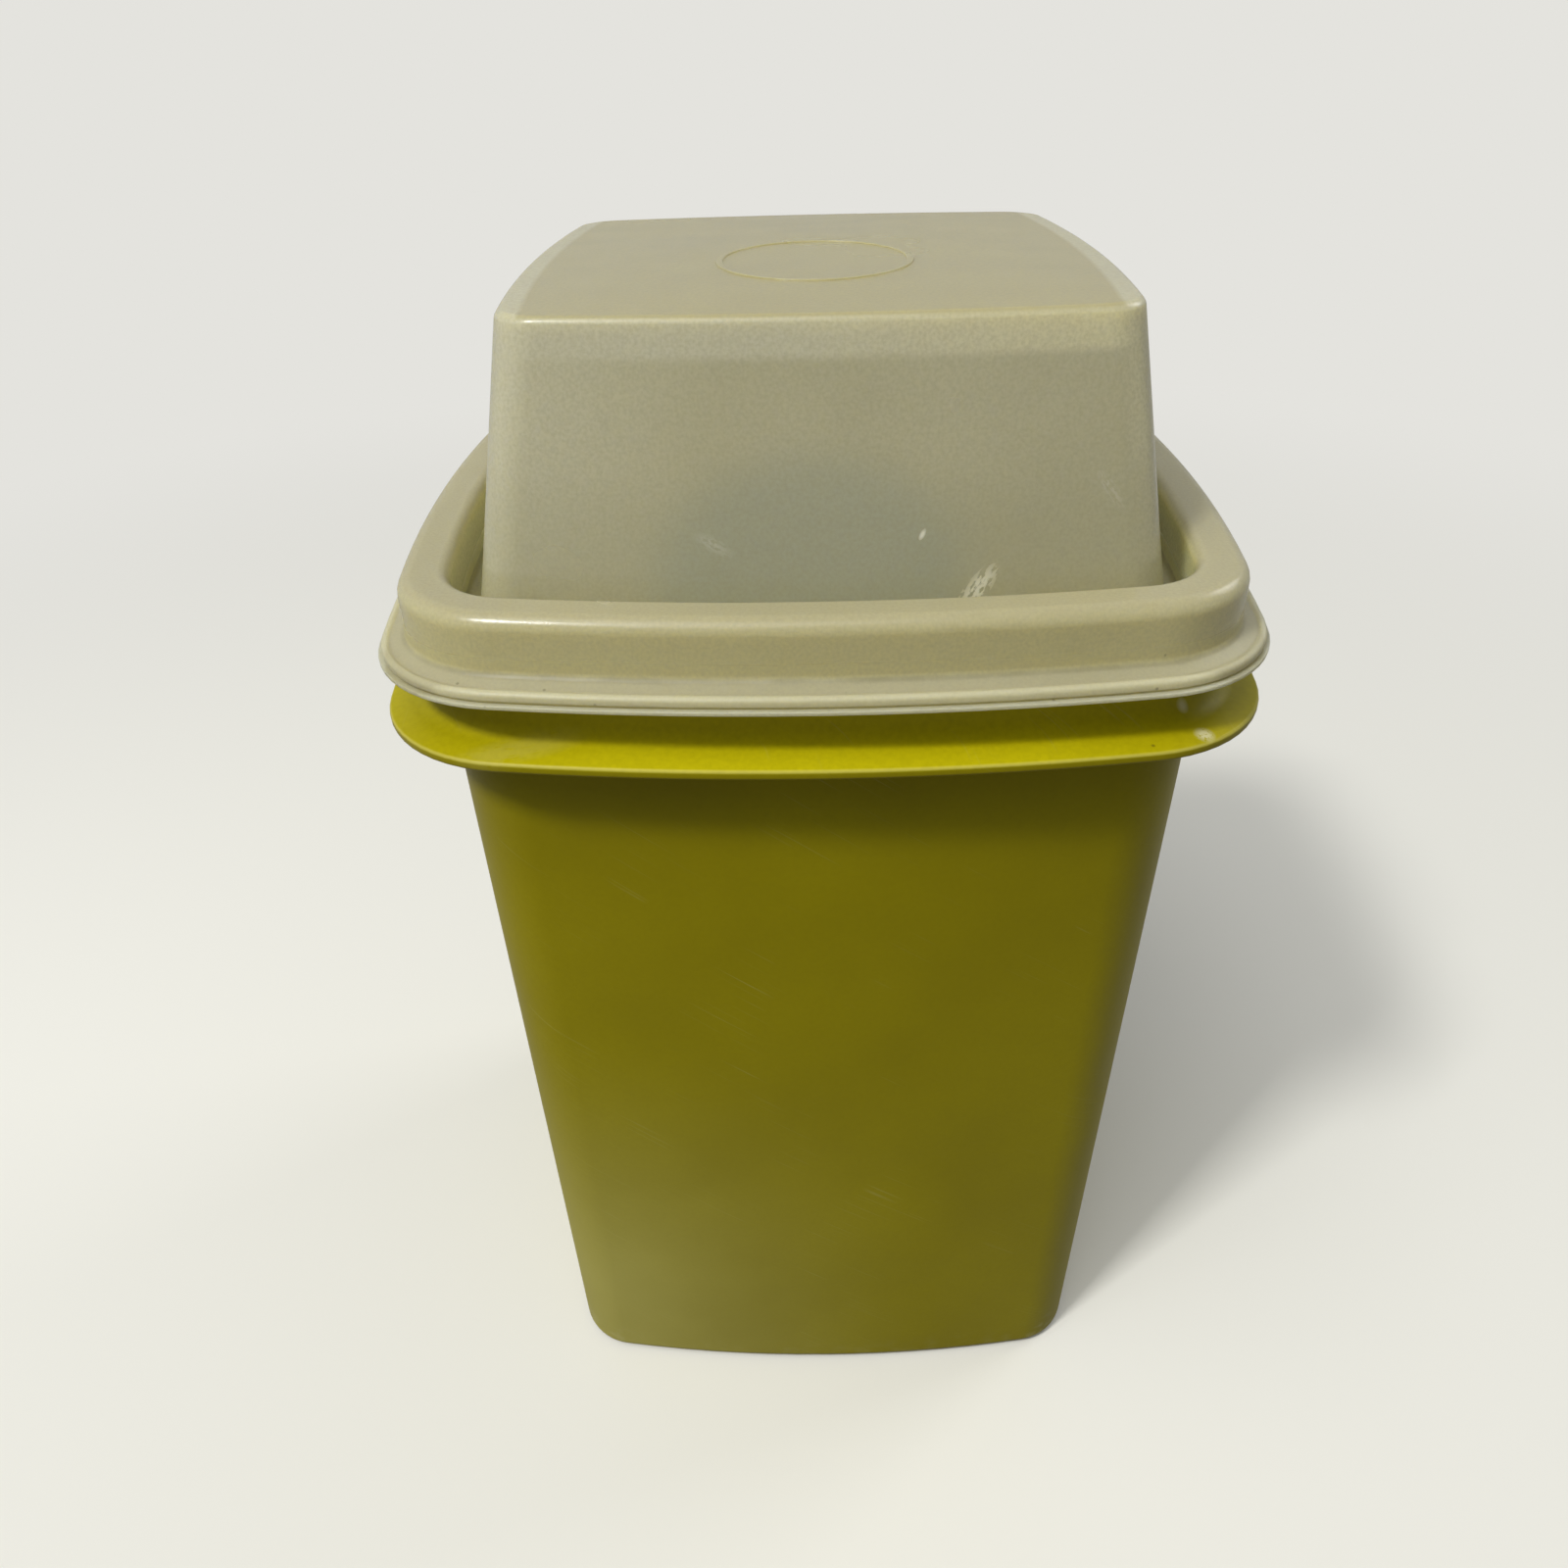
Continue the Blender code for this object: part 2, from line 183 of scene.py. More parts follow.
SPOKES = 4 * (SIDE_STEPS + CORNER_STEPS)
print(f"{SPOKES} points round each section, corners from {corner_radius(DOME_TOP_HALF, DOME_PLAN) / MM:.1f} "
      f"to {corner_radius(BRIM_HALF, BODY_PLAN) / MM:.1f} mm")

# %% [markdown]
# ## Walking a ring
#
# A modeller makes a tub by adding a circle, extruding its edge up, out and down again, and then bevelling
# the edges that should be round. The same three moves are written here once and used for every piece. The
# ring is extruded with Blender's own operator and its new points are set on the next section. Each point
# remembers its spoke and its ring in two integer layers, so that a ring can be found again and bevelled by
# name, whatever happened to the mesh in between.

# %% Walking a ring
FACET = 0.35 * MM               # about how long a facet of a rounded edge is, across the edge
SHARPEST_SMOOTHED = math.radians(35)


def deselect_everything():
    """Leaves edit mode and selects nothing, because operators act on all that is selected."""
    if bpy.context.mode != "OBJECT":
        bpy.ops.object.mode_set(mode="OBJECT")
    bpy.ops.object.select_all(action="DESELECT")


def layers(mesh):
    """The spoke and ring numbers of a mesh in edit mode."""
    numbers = mesh.verts.layers.int
    return (numbers.get("spoke") or numbers.new("spoke")), (numbers.get("ring") or numbers.new("ring"))


def start_ring(name, points):
    """Adds a circle, lays its points on the first section, and stays in edit mode."""
    deselect_everything()
    bpy.ops.mesh.primitive_circle_add(vertices=len(points), radius=points[0].length, fill_type="NOTHING")
    piece = bpy.context.object
    piece.name = piece.data.name = name
    bpy.ops.object.mode_set(mode="EDIT")
    mesh = bmesh.from_edit_mesh(piece.data)
    spoke, ring = layers(mesh)
    for number, (vertex, point) in enumerate(zip(mesh.verts, points)):
        vertex[spoke], vertex[ring], vertex.co = number, 1, point
    bmesh.update_edit_mesh(piece.data)
    return piece


def next_ring(points, number):
    """Extrudes the selected ring and lays the new one on the next section."""
    bpy.ops.mesh.extrude_region_move()
    data = bpy.context.object.data
    mesh = bmesh.from_edit_mesh(data)
    spoke, ring = layers(mesh)
    for vertex in mesh.verts:
        if vertex.select:
            vertex.co = points[vertex[spoke]]
            vertex[ring] = number
    bmesh.update_edit_mesh(data)


def select_ring(number):
    """Selects the edges that run round one ring, and nothing else."""
    bpy.ops.mesh.select_all(action="DESELECT")
    data = bpy.context.object.data
    mesh = bmesh.from_edit_mesh(data)
    ring = layers(mesh)[1]
    for edge in mesh.edges:
        if all(vertex[ring] == number for vertex in edge.verts):
            edge.select = True
    mesh.select_flush(True)
    bmesh.update_edit_mesh(data)


def modify(piece, kind, **settings):
    """Adds a modifier with its settings to the active piece, and applies it."""
    modifier = piece.modifiers.new(kind, kind)
    for name, value in settings.items():
        setattr(modifier, name, value)
    bpy.ops.object.modifier_apply(modifier=modifier.name)


def smooth(piece):
    """Smooth shading that keeps wide faces flat: large faces count for more in the shading of shared points."""
    bpy.ops.object.shade_smooth_by_angle(angle=SHARPEST_SMOOTHED)
    modify(piece, "WEIGHTED_NORMAL", weight=100, keep_sharp=True)


def walk(name, stops):
    """Makes a closed moulding through its stops, each (points, fillet radius), and rounds the rings that have one."""
    piece = start_ring(name, stops[0][0])
    for number, (points, _) in enumerate(stops[1:], start=2):
        next_ring(points, number)
    bpy.ops.mesh.edge_face_add()
    select_ring(1)
    bpy.ops.mesh.edge_face_add()
    middle_of_side = SIDE_STEPS // 2
    for number in range(2, len(stops)):
        radius = stops[number - 1][1]
        if not radius:
            continue
        before, here, after = (stops[number + offset][0][middle_of_side] for offset in (-2, -1, 0))
        turn = (here - before).angle(after - here)
        select_ring(number)
        bpy.ops.mesh.bevel(
            offset=radius * math.tan(turn / 2), offset_type="OFFSET", affect="EDGES",
            segments=max(3, round(turn * radius / FACET)), clamp_overlap=False,
        )
    bpy.ops.mesh.select_all(action="SELECT")
    bpy.ops.mesh.normals_make_consistent(inside=False)
    bpy.ops.object.mode_set(mode="OBJECT")
    smooth(piece)
    print(f"{name}: {len(stops)} stops, {len(piece.data.vertices)} points")
    return piece


def along(plan, outline):
    """Stops for an outline of (half width, height, fillet radius) on one plan."""
    return [(section(half, height, plan), radius) for half, height, radius in outline]


# %% [markdown]
# ## The canister
#
# The wall leans out by about one degree so that the moulding leaves its core. Near the top it throws out a
# thin brim, for the fingers that hold the canister while the lid is pulled, and a hollow fillet carries the
# brim into a thicker rim that the lid grips. Underneath, a low foot keeps the floor off the table, and a
# small raised disc in the middle is where the plastic entered the mould.

# %% The canister
GATE_RADIUS = 4.0 * MM
GATE_HEIGHT = 0.5 * MM


def level(height):
    """A surface that is flat at one height, for a disc to lie on."""
    return lambda x, y: height


foot_inner = wall_half(0) - FOOT_WIDTH
canister = walk("canister_moulding", [
    (oval(GATE_RADIUS * 0.8, GATE_RADIUS * 0.8, level(FOOT_RECESS - GATE_HEIGHT)), 0),
    (oval(GATE_RADIUS, GATE_RADIUS, level(FOOT_RECESS - GATE_HEIGHT)), 0.2 * MM),
    (oval(GATE_RADIUS, GATE_RADIUS, level(FOOT_RECESS)), 0),
    *along(BODY_PLAN, [
        (foot_inner - FOOT_RECESS, FOOT_RECESS, 0.6 * MM),
        (foot_inner, 0, 0.6 * MM),
        (wall_half(0), 0, 2.5 * MM),
        *[(wall_half(height), height, 0) for height in (40 * MM, 80 * MM, 120 * MM)],
        (WALL_AT_BRIM, BRIM_ROOT, 0.8 * MM),
        (BRIM_HALF, BRIM_ROOT - BRIM_FALL, 0.5 * MM),
        (BRIM_HALF, BRIM_ROOT + BRIM_THICKNESS - BRIM_FALL, 0.6 * MM),
        (RIM_HALF, BRIM_ROOT + BRIM_THICKNESS, 5.0 * MM),
        (RIM_HALF, RIM_TOP, 1.2 * MM),
        (inner_half(RIM_TOP), RIM_TOP, 1.2 * MM),
        *[(inner_half(height), height, 0) for height in (120 * MM, 60 * MM)],
        (inner_half(FLOOR_TOP), FLOOR_TOP, 4.0 * MM),
        (inner_half(FLOOR_TOP) - FLAT_MARGIN, FLOOR_TOP, 0),
    ]),
])

# %% [markdown]
# ## The lid
#
# One thin wall makes the whole lid: dome, moat, bead and skirt. The bead is an upside-down channel that
# swallows the rim, and its crest is flat between two round shoulders. The skirt flares below it to a rolled
# lip with a thin flange under it, which stiffens the edge that people pull. The dome's top is crowned by about
# a millimetre, and a plain raised oval lies near its middle, where such lids carry a mark.

# %% The lid
OVAL_ACROSS = 15.3 * MM
OVAL_ALONG = 16.8 * MM
OVAL_CENTRE = -10.0 * MM
OVAL_STEP = 0.24 * MM
OVAL_LINE = 1.1 * MM
BEAD_THINNED = 0.7 * MM         # the bead's inner wall is thinner than the rest of the lid
LIP_HALF = SKIRT_HALF - 0.65 * MM
LIP_HEIGHT = 1.4 * MM
GROOVE_DEPTH = 0.4 * MM
GROOVE_WIDTH = 0.35 * MM
FLANGE_THICKNESS = 0.65 * MM


def crown(sunk):
    """The dome's crowned top, or a surface parallel to it that lies lower."""
    def height_at(x, y):
        shares = (1 - (x / DOME_TOP_HALF) ** 2) * (1 - (y / DOME_TOP_HALF) ** 2)
        return DOME_TOP + (DOME_CROWN - OVAL_STEP) * shares - sunk
    return height_at


def crowned_section(half, plan, height_at):
    """A section whose points lie on a crowned surface."""
    return [Vector((point.x, point.y, height_at(point.x, point.y))) for point in section(half, 0, plan)]


skirt_root = CREST - 8.6 * MM
lip_top = CREST - 9.4 * MM
groove_top = lip_top - LIP_HEIGHT
flange_top = groove_top - GROOVE_WIDTH
dome_inner_top = DOME_TOP_HALF + DOME_DRAFT * LID_WALL - LID_WALL
dome_inner_foot = DOME_FOOT_HALF + DOME_DRAFT * LID_WALL - LID_WALL
top, raised, under = crown(0), crown(-OVAL_STEP), crown(LID_WALL)

lid = walk("lid_moulding", [
    *[(oval(OVAL_ACROSS * share, OVAL_ALONG * share, top, OVAL_CENTRE), 0) for share in (0.3, 0.6)],
    *[(oval(OVAL_ACROSS - line, OVAL_ALONG - line, surface, OVAL_CENTRE), 0.1 * MM)
      for line, surface in ((OVAL_LINE, top), (OVAL_LINE, raised), (0, raised), (0, top))],
    *[(crowned_section(DOME_TOP_HALF * share, DOME_PLAN, top), 0) for share in (0.7, 0.85)],
    *along(DOME_PLAN, [
        (DOME_TOP_HALF, DOME_TOP, 1.3 * MM),
        (DOME_FOOT_HALF - DOME_DRAFT * 15 * MM, MOAT_FLOOR + 15 * MM, 0),
        (DOME_FOOT_HALF, MOAT_FLOOR, 0.8 * MM),
    ]),
    *along(BODY_PLAN, [
        (BEAD_INNER + BEAD_THINNED, MOAT_FLOOR, 0.8 * MM),
        (BEAD_INNER + BEAD_THINNED, CREST, 1.8 * MM),
        (BEAD_OUTER, CREST, 2.4 * MM),
        (BEAD_OUTER + 0.2 * MM, skirt_root, 1.2 * MM),
        (LIP_HALF - 1.3 * MM, lip_top - 0.25 * MM, 0.6 * MM),
        (LIP_HALF - 0.8 * MM, lip_top, 0.4 * MM),
        (LIP_HALF, lip_top - 0.25 * MM, 0.6 * MM),
        (LIP_HALF, groove_top + 0.05 * MM, 0.12 * MM),
        (LIP_HALF - GROOVE_DEPTH, groove_top, 0.08 * MM),
        (LIP_HALF - GROOVE_DEPTH, flange_top, 0.08 * MM),
        (SKIRT_HALF, flange_top, 0.1 * MM),
        (SKIRT_HALF, flange_top - FLANGE_THICKNESS, 0.15 * MM),
        (CHANNEL_OUTER, skirt_root - 1.6 * MM, 0.4 * MM),
        (CHANNEL_OUTER, CHANNEL_TOP, 1.2 * MM),
        (CHANNEL_INNER, CHANNEL_TOP, 1.2 * MM),
        (CHANNEL_INNER, PLUG_BOTTOM, 1.2 * MM),
    ]),
    *along(DOME_INSIDE_PLAN, [
        (dome_inner_foot, PLUG_BOTTOM, 1.2 * MM),
        (dome_inner_top, DOME_TOP - LID_WALL, 1.0 * MM),
    ]),
    *[(crowned_section(DOME_TOP_HALF * share, DOME_INSIDE_PLAN, under), 0) for share in (0.7, 0.4)],
])

# %% [markdown]
# ## The strainer's tray
#
# The tray is the same kind of moulding, walked the same way. Its floor has a grid of round holes for the
# brine, and two of its walls have slots. A modeller would cut them with a Boolean. The cylinders for the
# holes are joined into one mesh and the blocks for the slots into another, so that two cuts do it all.

# %% The tray
TRAY_TOP = TRAY_BOTTOM + 26.0 * MM
TRAY_WALL = 1.8 * MM
TRAY_FOOT_RECESS = 2.4 * MM
TRAY_FLOOR = TRAY_BOTTOM + TRAY_FOOT_RECESS + TRAY_WALL

tray_foot_inner = TRAY_HALF - 5.0 * MM
strainer = walk("strainer_moulding", along(BODY_PLAN, [
    (tray_foot_inner - FLAT_MARGIN, TRAY_BOTTOM + TRAY_FOOT_RECESS, 0),
    (tray_foot_inner - TRAY_FOOT_RECESS, TRAY_BOTTOM + TRAY_FOOT_RECESS, 0.8 * MM),
    (tray_foot_inner, TRAY_BOTTOM, 0.8 * MM),
    (TRAY_HALF, TRAY_BOTTOM, 2.0 * MM),
    (TRAY_HALF, TRAY_TOP, 0.85 * MM),
    (TRAY_HALF - TRAY_WALL, TRAY_TOP, 0.85 * MM),
    (TRAY_HALF - TRAY_WALL, TRAY_FLOOR, 1.6 * MM),
    (TRAY_HALF - TRAY_WALL - FLAT_MARGIN, TRAY_FLOOR, 0),
]))

# %% The drain holes and slots
HOLE_RADIUS = 3.2 * MM
HOLE_PITCH = 16.5 * MM
HOLES_ACROSS = 5
SLOT_WIDTH = 4.0 * MM
SLOT_HEIGHT = 11.0 * MM
SLOT_PITCH = 13.0 * MM
SLOT_END_RADIUS = 0.48 * SLOT_WIDTH
SLOTS_ACROSS = 5
CUTTER_DEPTH = 8 * TRAY_WALL


def in_a_row(count, pitch):
    """Positions of things that stand in a row with its middle at zero."""
    return [(number - (count - 1) / 2) * pitch for number in range(count)]


def joined(parts):
    """The parts as one mesh."""
    for part in parts:
        part.select_set(True)
    bpy.ops.object.join()
    return bpy.context.object


def combine(piece, other, operation):
    """Cuts another mesh out of the piece, or adds it to the piece, and removes it."""
    deselect_everything()
    bpy.context.view_layer.objects.active = piece
    modify(piece, "BOOLEAN", object=other, operation=operation)
    bpy.data.objects.remove(other)


deselect_everything()
holes = []
for x in in_a_row(HOLES_ACROSS, HOLE_PITCH):
    for y in in_a_row(HOLES_ACROSS, HOLE_PITCH):
        bpy.ops.mesh.primitive_cylinder_add(
            vertices=32, radius=HOLE_RADIUS, depth=4 * TRAY_FOOT_RECESS, location=(x, y, TRAY_FLOOR),
        )
        holes.append(bpy.context.object)
combine(strainer, joined(holes), "DIFFERENCE")

deselect_everything()
slots = []
for y in (-TRAY_HALF, TRAY_HALF):
    for x in in_a_row(SLOTS_ACROSS, SLOT_PITCH):
        bpy.ops.mesh.primitive_cube_add(size=1, location=(x, y, (TRAY_FLOOR + TRAY_TOP) / 2))
        bpy.ops.transform.resize(value=(SLOT_WIDTH, CUTTER_DEPTH, SLOT_HEIGHT))
        bpy.ops.object.transform_apply(location=False, rotation=False)
        bpy.ops.object.mode_set(mode="EDIT")
        bpy.ops.mesh.select_all(action="DESELECT")
        slot_mesh = bmesh.from_edit_mesh(bpy.context.object.data)
        for edge in slot_mesh.edges:
            ends = [vertex.co for vertex in edge.verts]
            edge.select = abs(ends[0].y - ends[1].y) > TRAY_WALL
        bmesh.update_edit_mesh(bpy.context.object.data)
        bpy.ops.mesh.bevel(offset=SLOT_END_RADIUS, segments=6, affect="EDGES")
        bpy.ops.object.mode_set(mode="OBJECT")
        slots.append(bpy.context.object)
combine(strainer, joined(slots), "DIFFERENCE")
print("tray after the cuts:", len(strainer.data.polygons), "faces")

# %% [markdown]
# ## The strainer's bail
#
# Two wide arms rise from the tray, lean in, and meet as a flat handle under the dome. It is one strip with a
# lip turned in along each edge, which keeps so long a strip of soft plastic stiff. A row of points across
# the strip is extruded along a path of straight runs and arcs, a Solidify modifier gives it its thickness,
# and a Boolean joins it to the tray, as it is joined in the mould.

# %% The path of the bail
STRAP_THICKNESS = 2.3 * MM
STRAP_FOOT_WIDTH = 58.0 * MM
STRAP_GRIP_WIDTH = 30.0 * MM
STRAP_RIB = 2.6 * MM
STRAP_LID_GAP = 2.4 * MM
BEND_RADIUS = 60.0 * MM
GRIP_CORNER_RADIUS = 14.0 * MM

waist_x = DOME_FOOT_HALF - LID_WALL - STRAP_LID_GAP - STRAP_THICKNESS / 2
grip_z = strainer_high.z - STRAP_THICKNESS / 2
grip_x = waist_x - DOME_DRAFT * (grip_z - PLUG_BOTTOM)


def rounded_path(corners, longest):
    """Points along straight runs and arcs past corners of (x, z, radius), none farther apart than longest."""
    points = [Vector(corners[0][:2])]
    for before, here, after in zip(corners, corners[1:], corners[2:]):
        corner = Vector(here[:2])
        back, ahead = (Vector(before[:2]) - corner).normalized(), (Vector(after[:2]) - corner).normalized()
        half_angle = back.angle(ahead) / 2
        radius = here[2]
        centre = corner + (back + ahead).normalized() * radius / math.sin(half_angle)
        start = corner + back * radius / math.tan(half_angle) - centre
        end = corner + ahead * radius / math.tan(half_angle) - centre
        sweep = start.angle_signed(end)
        count = max(4, math.ceil(abs(sweep) * radius / longest))
        for step in range(count + 1):
            points.append(centre + Matrix.Rotation(-sweep * step / count, 2) @ start)
    points.append(Vector(corners[-1][:2]))
    filled = [points[0]]
    for start, end in zip(points, points[1:]):
        count = max(1, math.ceil((end - start).length / longest))
        filled += [start.lerp(end, step / count) for step in range(1, count + 1)]
    return filled


right_arm = [
    (TRAY_HALF - TRAY_WALL / 2, TRAY_BOTTOM + 3.0 * MM, 0),
    (waist_x, PLUG_BOTTOM, BEND_RADIUS),
    (grip_x, grip_z, GRIP_CORNER_RADIUS),
]
bail_path = rounded_path(right_arm + [(-x, z, radius) for x, z, radius in reversed(right_arm)], 4 * MM)
print(f"bail: {len(bail_path)} stations, handle {(grip_z - PLUG_BOTTOM) / MM:.0f} mm above the plug")

# %% The bail
EDGE_RADIUS = 0.5 * MM
WELD_DISTANCE = 0.01 * MM
SHARES_ACROSS = [step / 5 for step in range(-5, 6)]


def strap_half_width(height):
    """Half the strip's width: it narrows in a smooth curve from the tray to the brim."""
    share = min(max((height - TRAY_TOP) / (BRIM_ROOT - TRAY_TOP), 0), 1)
    ease = 1 - (1 - share) ** 2
    return (STRAP_FOOT_WIDTH + (STRAP_GRIP_WIDTH - STRAP_FOOT_WIDTH) * ease) / 2


def strip_row(index):
    """The points across the strip at one station: bowed like the wall, with a lip turned in at each edge."""
    here = bail_path[index]
    direction = bail_path[min(index + 1, len(bail_path) - 1)] - bail_path[max(index - 1, 0)]
    inward = Vector((-direction.y, direction.x)).normalized()
    half = strap_half_width(here.y)
    bow = side_radius(TRAY_HALF, BODY_PLAN)
    row = []
    for share, lip in [(-1, STRAP_RIB)] + [(share, 0) for share in SHARES_ACROSS] + [(1, STRAP_RIB)]:
        y = share * half
        spot = here + inward * (y * y / (2 * bow) + lip)
        row.append(Vector((spot.x, y, spot.y)))
    return row


def start_row(name, points):
    """Adds a plane, keeps one of its edges, and divides and bends that edge into the first row."""
    deselect_everything()
    bpy.ops.mesh.primitive_plane_add(size=points[0].length)
    piece = bpy.context.object
    piece.name = piece.data.name = name
    bpy.ops.object.mode_set(mode="EDIT")
    mesh = bmesh.from_edit_mesh(piece.data)
    for vertex in mesh.verts:
        vertex.select = vertex.co.x > 0
    mesh.select_flush(False)
    bmesh.update_edit_mesh(piece.data)
    bpy.ops.mesh.delete(type="VERT")
    bpy.ops.mesh.select_all(action="SELECT")
    bpy.ops.mesh.subdivide(number_cuts=len(points) - 2)
    mesh = bmesh.from_edit_mesh(piece.data)
    spoke = layers(mesh)[0]
    for number, vertex in enumerate(sorted(mesh.verts, key=lambda found: found.co.y)):
        vertex[spoke], vertex.co = number, points[number]
    bmesh.update_edit_mesh(piece.data)
    bpy.ops.mesh.select_all(action="SELECT")
    return piece


bail = start_row("bail", strip_row(0))
for station in range(1, len(bail_path)):
    next_ring(strip_row(station), station)
bpy.ops.mesh.select_all(action="SELECT")
bpy.ops.mesh.normals_make_consistent(inside=False)
bpy.ops.object.mode_set(mode="OBJECT")
modify(bail, "SOLIDIFY", thickness=STRAP_THICKNESS, offset=0, use_even_offset=True)
modify(bail, "BEVEL", width=EDGE_RADIUS, segments=3, limit_method="ANGLE", angle_limit=math.radians(50))
combine(strainer, bail, "UNION")
strainer.select_set(True)
bpy.ops.object.mode_set(mode="EDIT")
bpy.ops.mesh.select_all(action="SELECT")
bpy.ops.mesh.remove_doubles(threshold=WELD_DISTANCE)
bpy.ops.object.mode_set(mode="OBJECT")
smooth(strainer)
print("strainer:", len(strainer.data.polygons), "faces")

# %% [markdown]
# ## What rides on what
#
# Each piece stands for one node of the frame and moves with that node's body.

# %% What rides on what
for piece, node, slot_name in (
    (canister, "canister", "canister_green"),
    (lid, "lid", "lid_frosted"),
    (strainer, "strainer", "strainer_natural"),
):
    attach(piece, node)
    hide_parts(node)

# %% [markdown]
# ## Helpers for the plastics
#
# Colours are written as the sRGB hex values that a colour chart would give, and one function turns them into
# the linear values that Blender's sockets hold. Another adds a node, sets it and wires it. Patterns are
# scaled by real sizes: a Mapping node of the TEXTURE type divides by its scale, so its scale is simply the
# size of one cell of the pattern.

# %% Helpers for the plastics
POLYETHYLENE_IOR = 1.51


def srgb(text):
    """A hex colour as linear red, green, blue and alpha."""
    channels = [int(text[start:start + 2], 16) / 255 for start in (1, 3, 5)]
    return (*[c / 12.92 if c <= 0.04045 else ((c + 0.055) / 1.055) ** 2.4 for c in channels], 1)


def fill(tree, socket, value):
    """Sets a socket to a value, or wires it to a result, which a node gives as its first one in use."""
    if isinstance(value, bpy.types.Node):
        value = next(result for result in value.outputs if result.enabled)
    if isinstance(value, bpy.types.NodeSocket):
        tree.links.new(value, socket)
    else:
        socket.default_value = value


def add_node(tree, kind, inputs=None, **settings):
    """Adds a node with its settings. Inputs in use are filled, by name or number, with values or results."""
    node = tree.nodes.new(kind)
    for name, value in settings.items():
        setattr(node, name, value)
    in_use = [socket for socket in node.inputs if socket.enabled]
    for name, value in (inputs or {}).items():
        fill(tree, in_use[name] if isinstance(name, int) else next(s for s in in_use if s.name == name), value)
    return node


def fill_shader(tree, shader, **values):
    """Fills a shader's inputs by their names, written with _ for a space."""
    for name, value in values.items():
        fill(tree, shader.inputs[name.replace("_", " ")], value)


def new_plastic(name, **constants):
    """A new material, its nodes, its shader with the values that are the same all over, and a pattern's place."""
    material = bpy.data.materials.new(name)
    material.use_nodes = True
    tree = material.node_tree
    shader = tree.nodes["Principled BSDF"]
    fill_shader(tree, shader, IOR=POLYETHYLENE_IOR, **constants)
    return material, tree, shader, add_node(tree, "ShaderNodeTexCoord").outputs["Object"]


def product(tree, *factors, operation="MULTIPLY"):
    """Factors put together one after another, as a rule by multiplying."""
    total = factors[0]
    for factor in factors[1:]:
        total = add_node(tree, "ShaderNodeMath", {0: total, 1: factor}, operation=operation)
    return total


def largest(tree, *factors):
    """The largest of the factors at each point."""
    return product(tree, *factors, operation="MAXIMUM")


# %% [markdown]
# ## Marks that the plastics share
#
# Polyethylene is soft. Shelves, sponges and other dishes scratch it, and each scratch scatters light, so it
# shows paler than the plastic round it. Here a noise is drawn out long in one direction and cut off high,
# which leaves thin short streaks, and a coarse noise keeps them in patches. Real scratches are finer: a third
# of a millimetre is as thin as one can be drawn here and still show. Small chips and specks of old food are
# the centres of a few cells of a Voronoi pattern. A scuff is a noise of torn fibres that fades out towards
# the edge of an ellipsoid, which is put where something once struck or rubbed the piece.

# %% Marks that the plastics share


def scratches(tree, place, turn, share):
    """Thin scratches that run one way, in patches that cover about that share of the surface."""
    drawn_out = add_node(tree, "ShaderNodeMapping", {
        "Vector": place, "Rotation": turn, "Scale": (24 * MM, 24 * MM, 0.35 * MM),
    }, vector_type="TEXTURE")
    streaks = add_node(tree, "ShaderNodeTexNoise", {"Vector": drawn_out, "Scale": 1.0, "Detail": 0.0})
    thin = add_node(tree, "ShaderNodeMapRange", {"Value": streaks, "From Min": 0.7, "From Max": 0.82})
    patches = add_node(tree, "ShaderNodeTexNoise", {"Vector": place, "Scale": 1 / (18 * MM), "Detail": 2.0})
    where = add_node(tree, "ShaderNodeMapRange", {
        "Value": patches, "From Min": 0.68 - share, "From Max": 0.78 - share,
    })
    return product(tree, thin, where)


def specks(tree, place, spacing, radius, share):
    """Round specks of that radius, in that share of the cells of a pattern with that spacing."""
    cells = add_node(tree, "ShaderNodeTexVoronoi", {"Vector": place, "Scale": 1 / spacing})
    dots = add_node(tree, "ShaderNodeMapRange", {
        "Value": cells, "From Min": radius / spacing, "From Max": 0.5 * radius / spacing,
    })
    chosen = add_node(tree, "ShaderNodeMath", {0: cells.outputs["Color"], 1: share}, operation="LESS_THAN")
    return product(tree, dots, chosen)


def scuff(tree, place, centre, size, whole, turn=(0, 0, 0)):
    """A torn patch in an ellipsoid, in millimetres. The more whole it is, the fewer fibres it shows."""
    own_place = add_node(tree, "ShaderNodeMapping", {
        "Vector": place, "Location": [part * MM for part in centre], "Rotation": turn,
        "Scale": [part * MM for part in size],
    }, vector_type="TEXTURE")
    distance = add_node(tree, "ShaderNodeVectorMath", {0: own_place}, operation="LENGTH")
    near = add_node(tree, "ShaderNodeMapRange", {"Value": distance, "From Min": 1.0, "From Max": 0.35})
    fibres = add_node(tree, "ShaderNodeTexNoise", {"Vector": own_place, "Scale": 3.2, "Detail": 6.0})
    torn = add_node(tree, "ShaderNodeMapRange", {
        "Value": fibres, "From Min": 0.47 - whole, "From Max": 0.55 - whole,
    })
    return product(tree, near, torn)


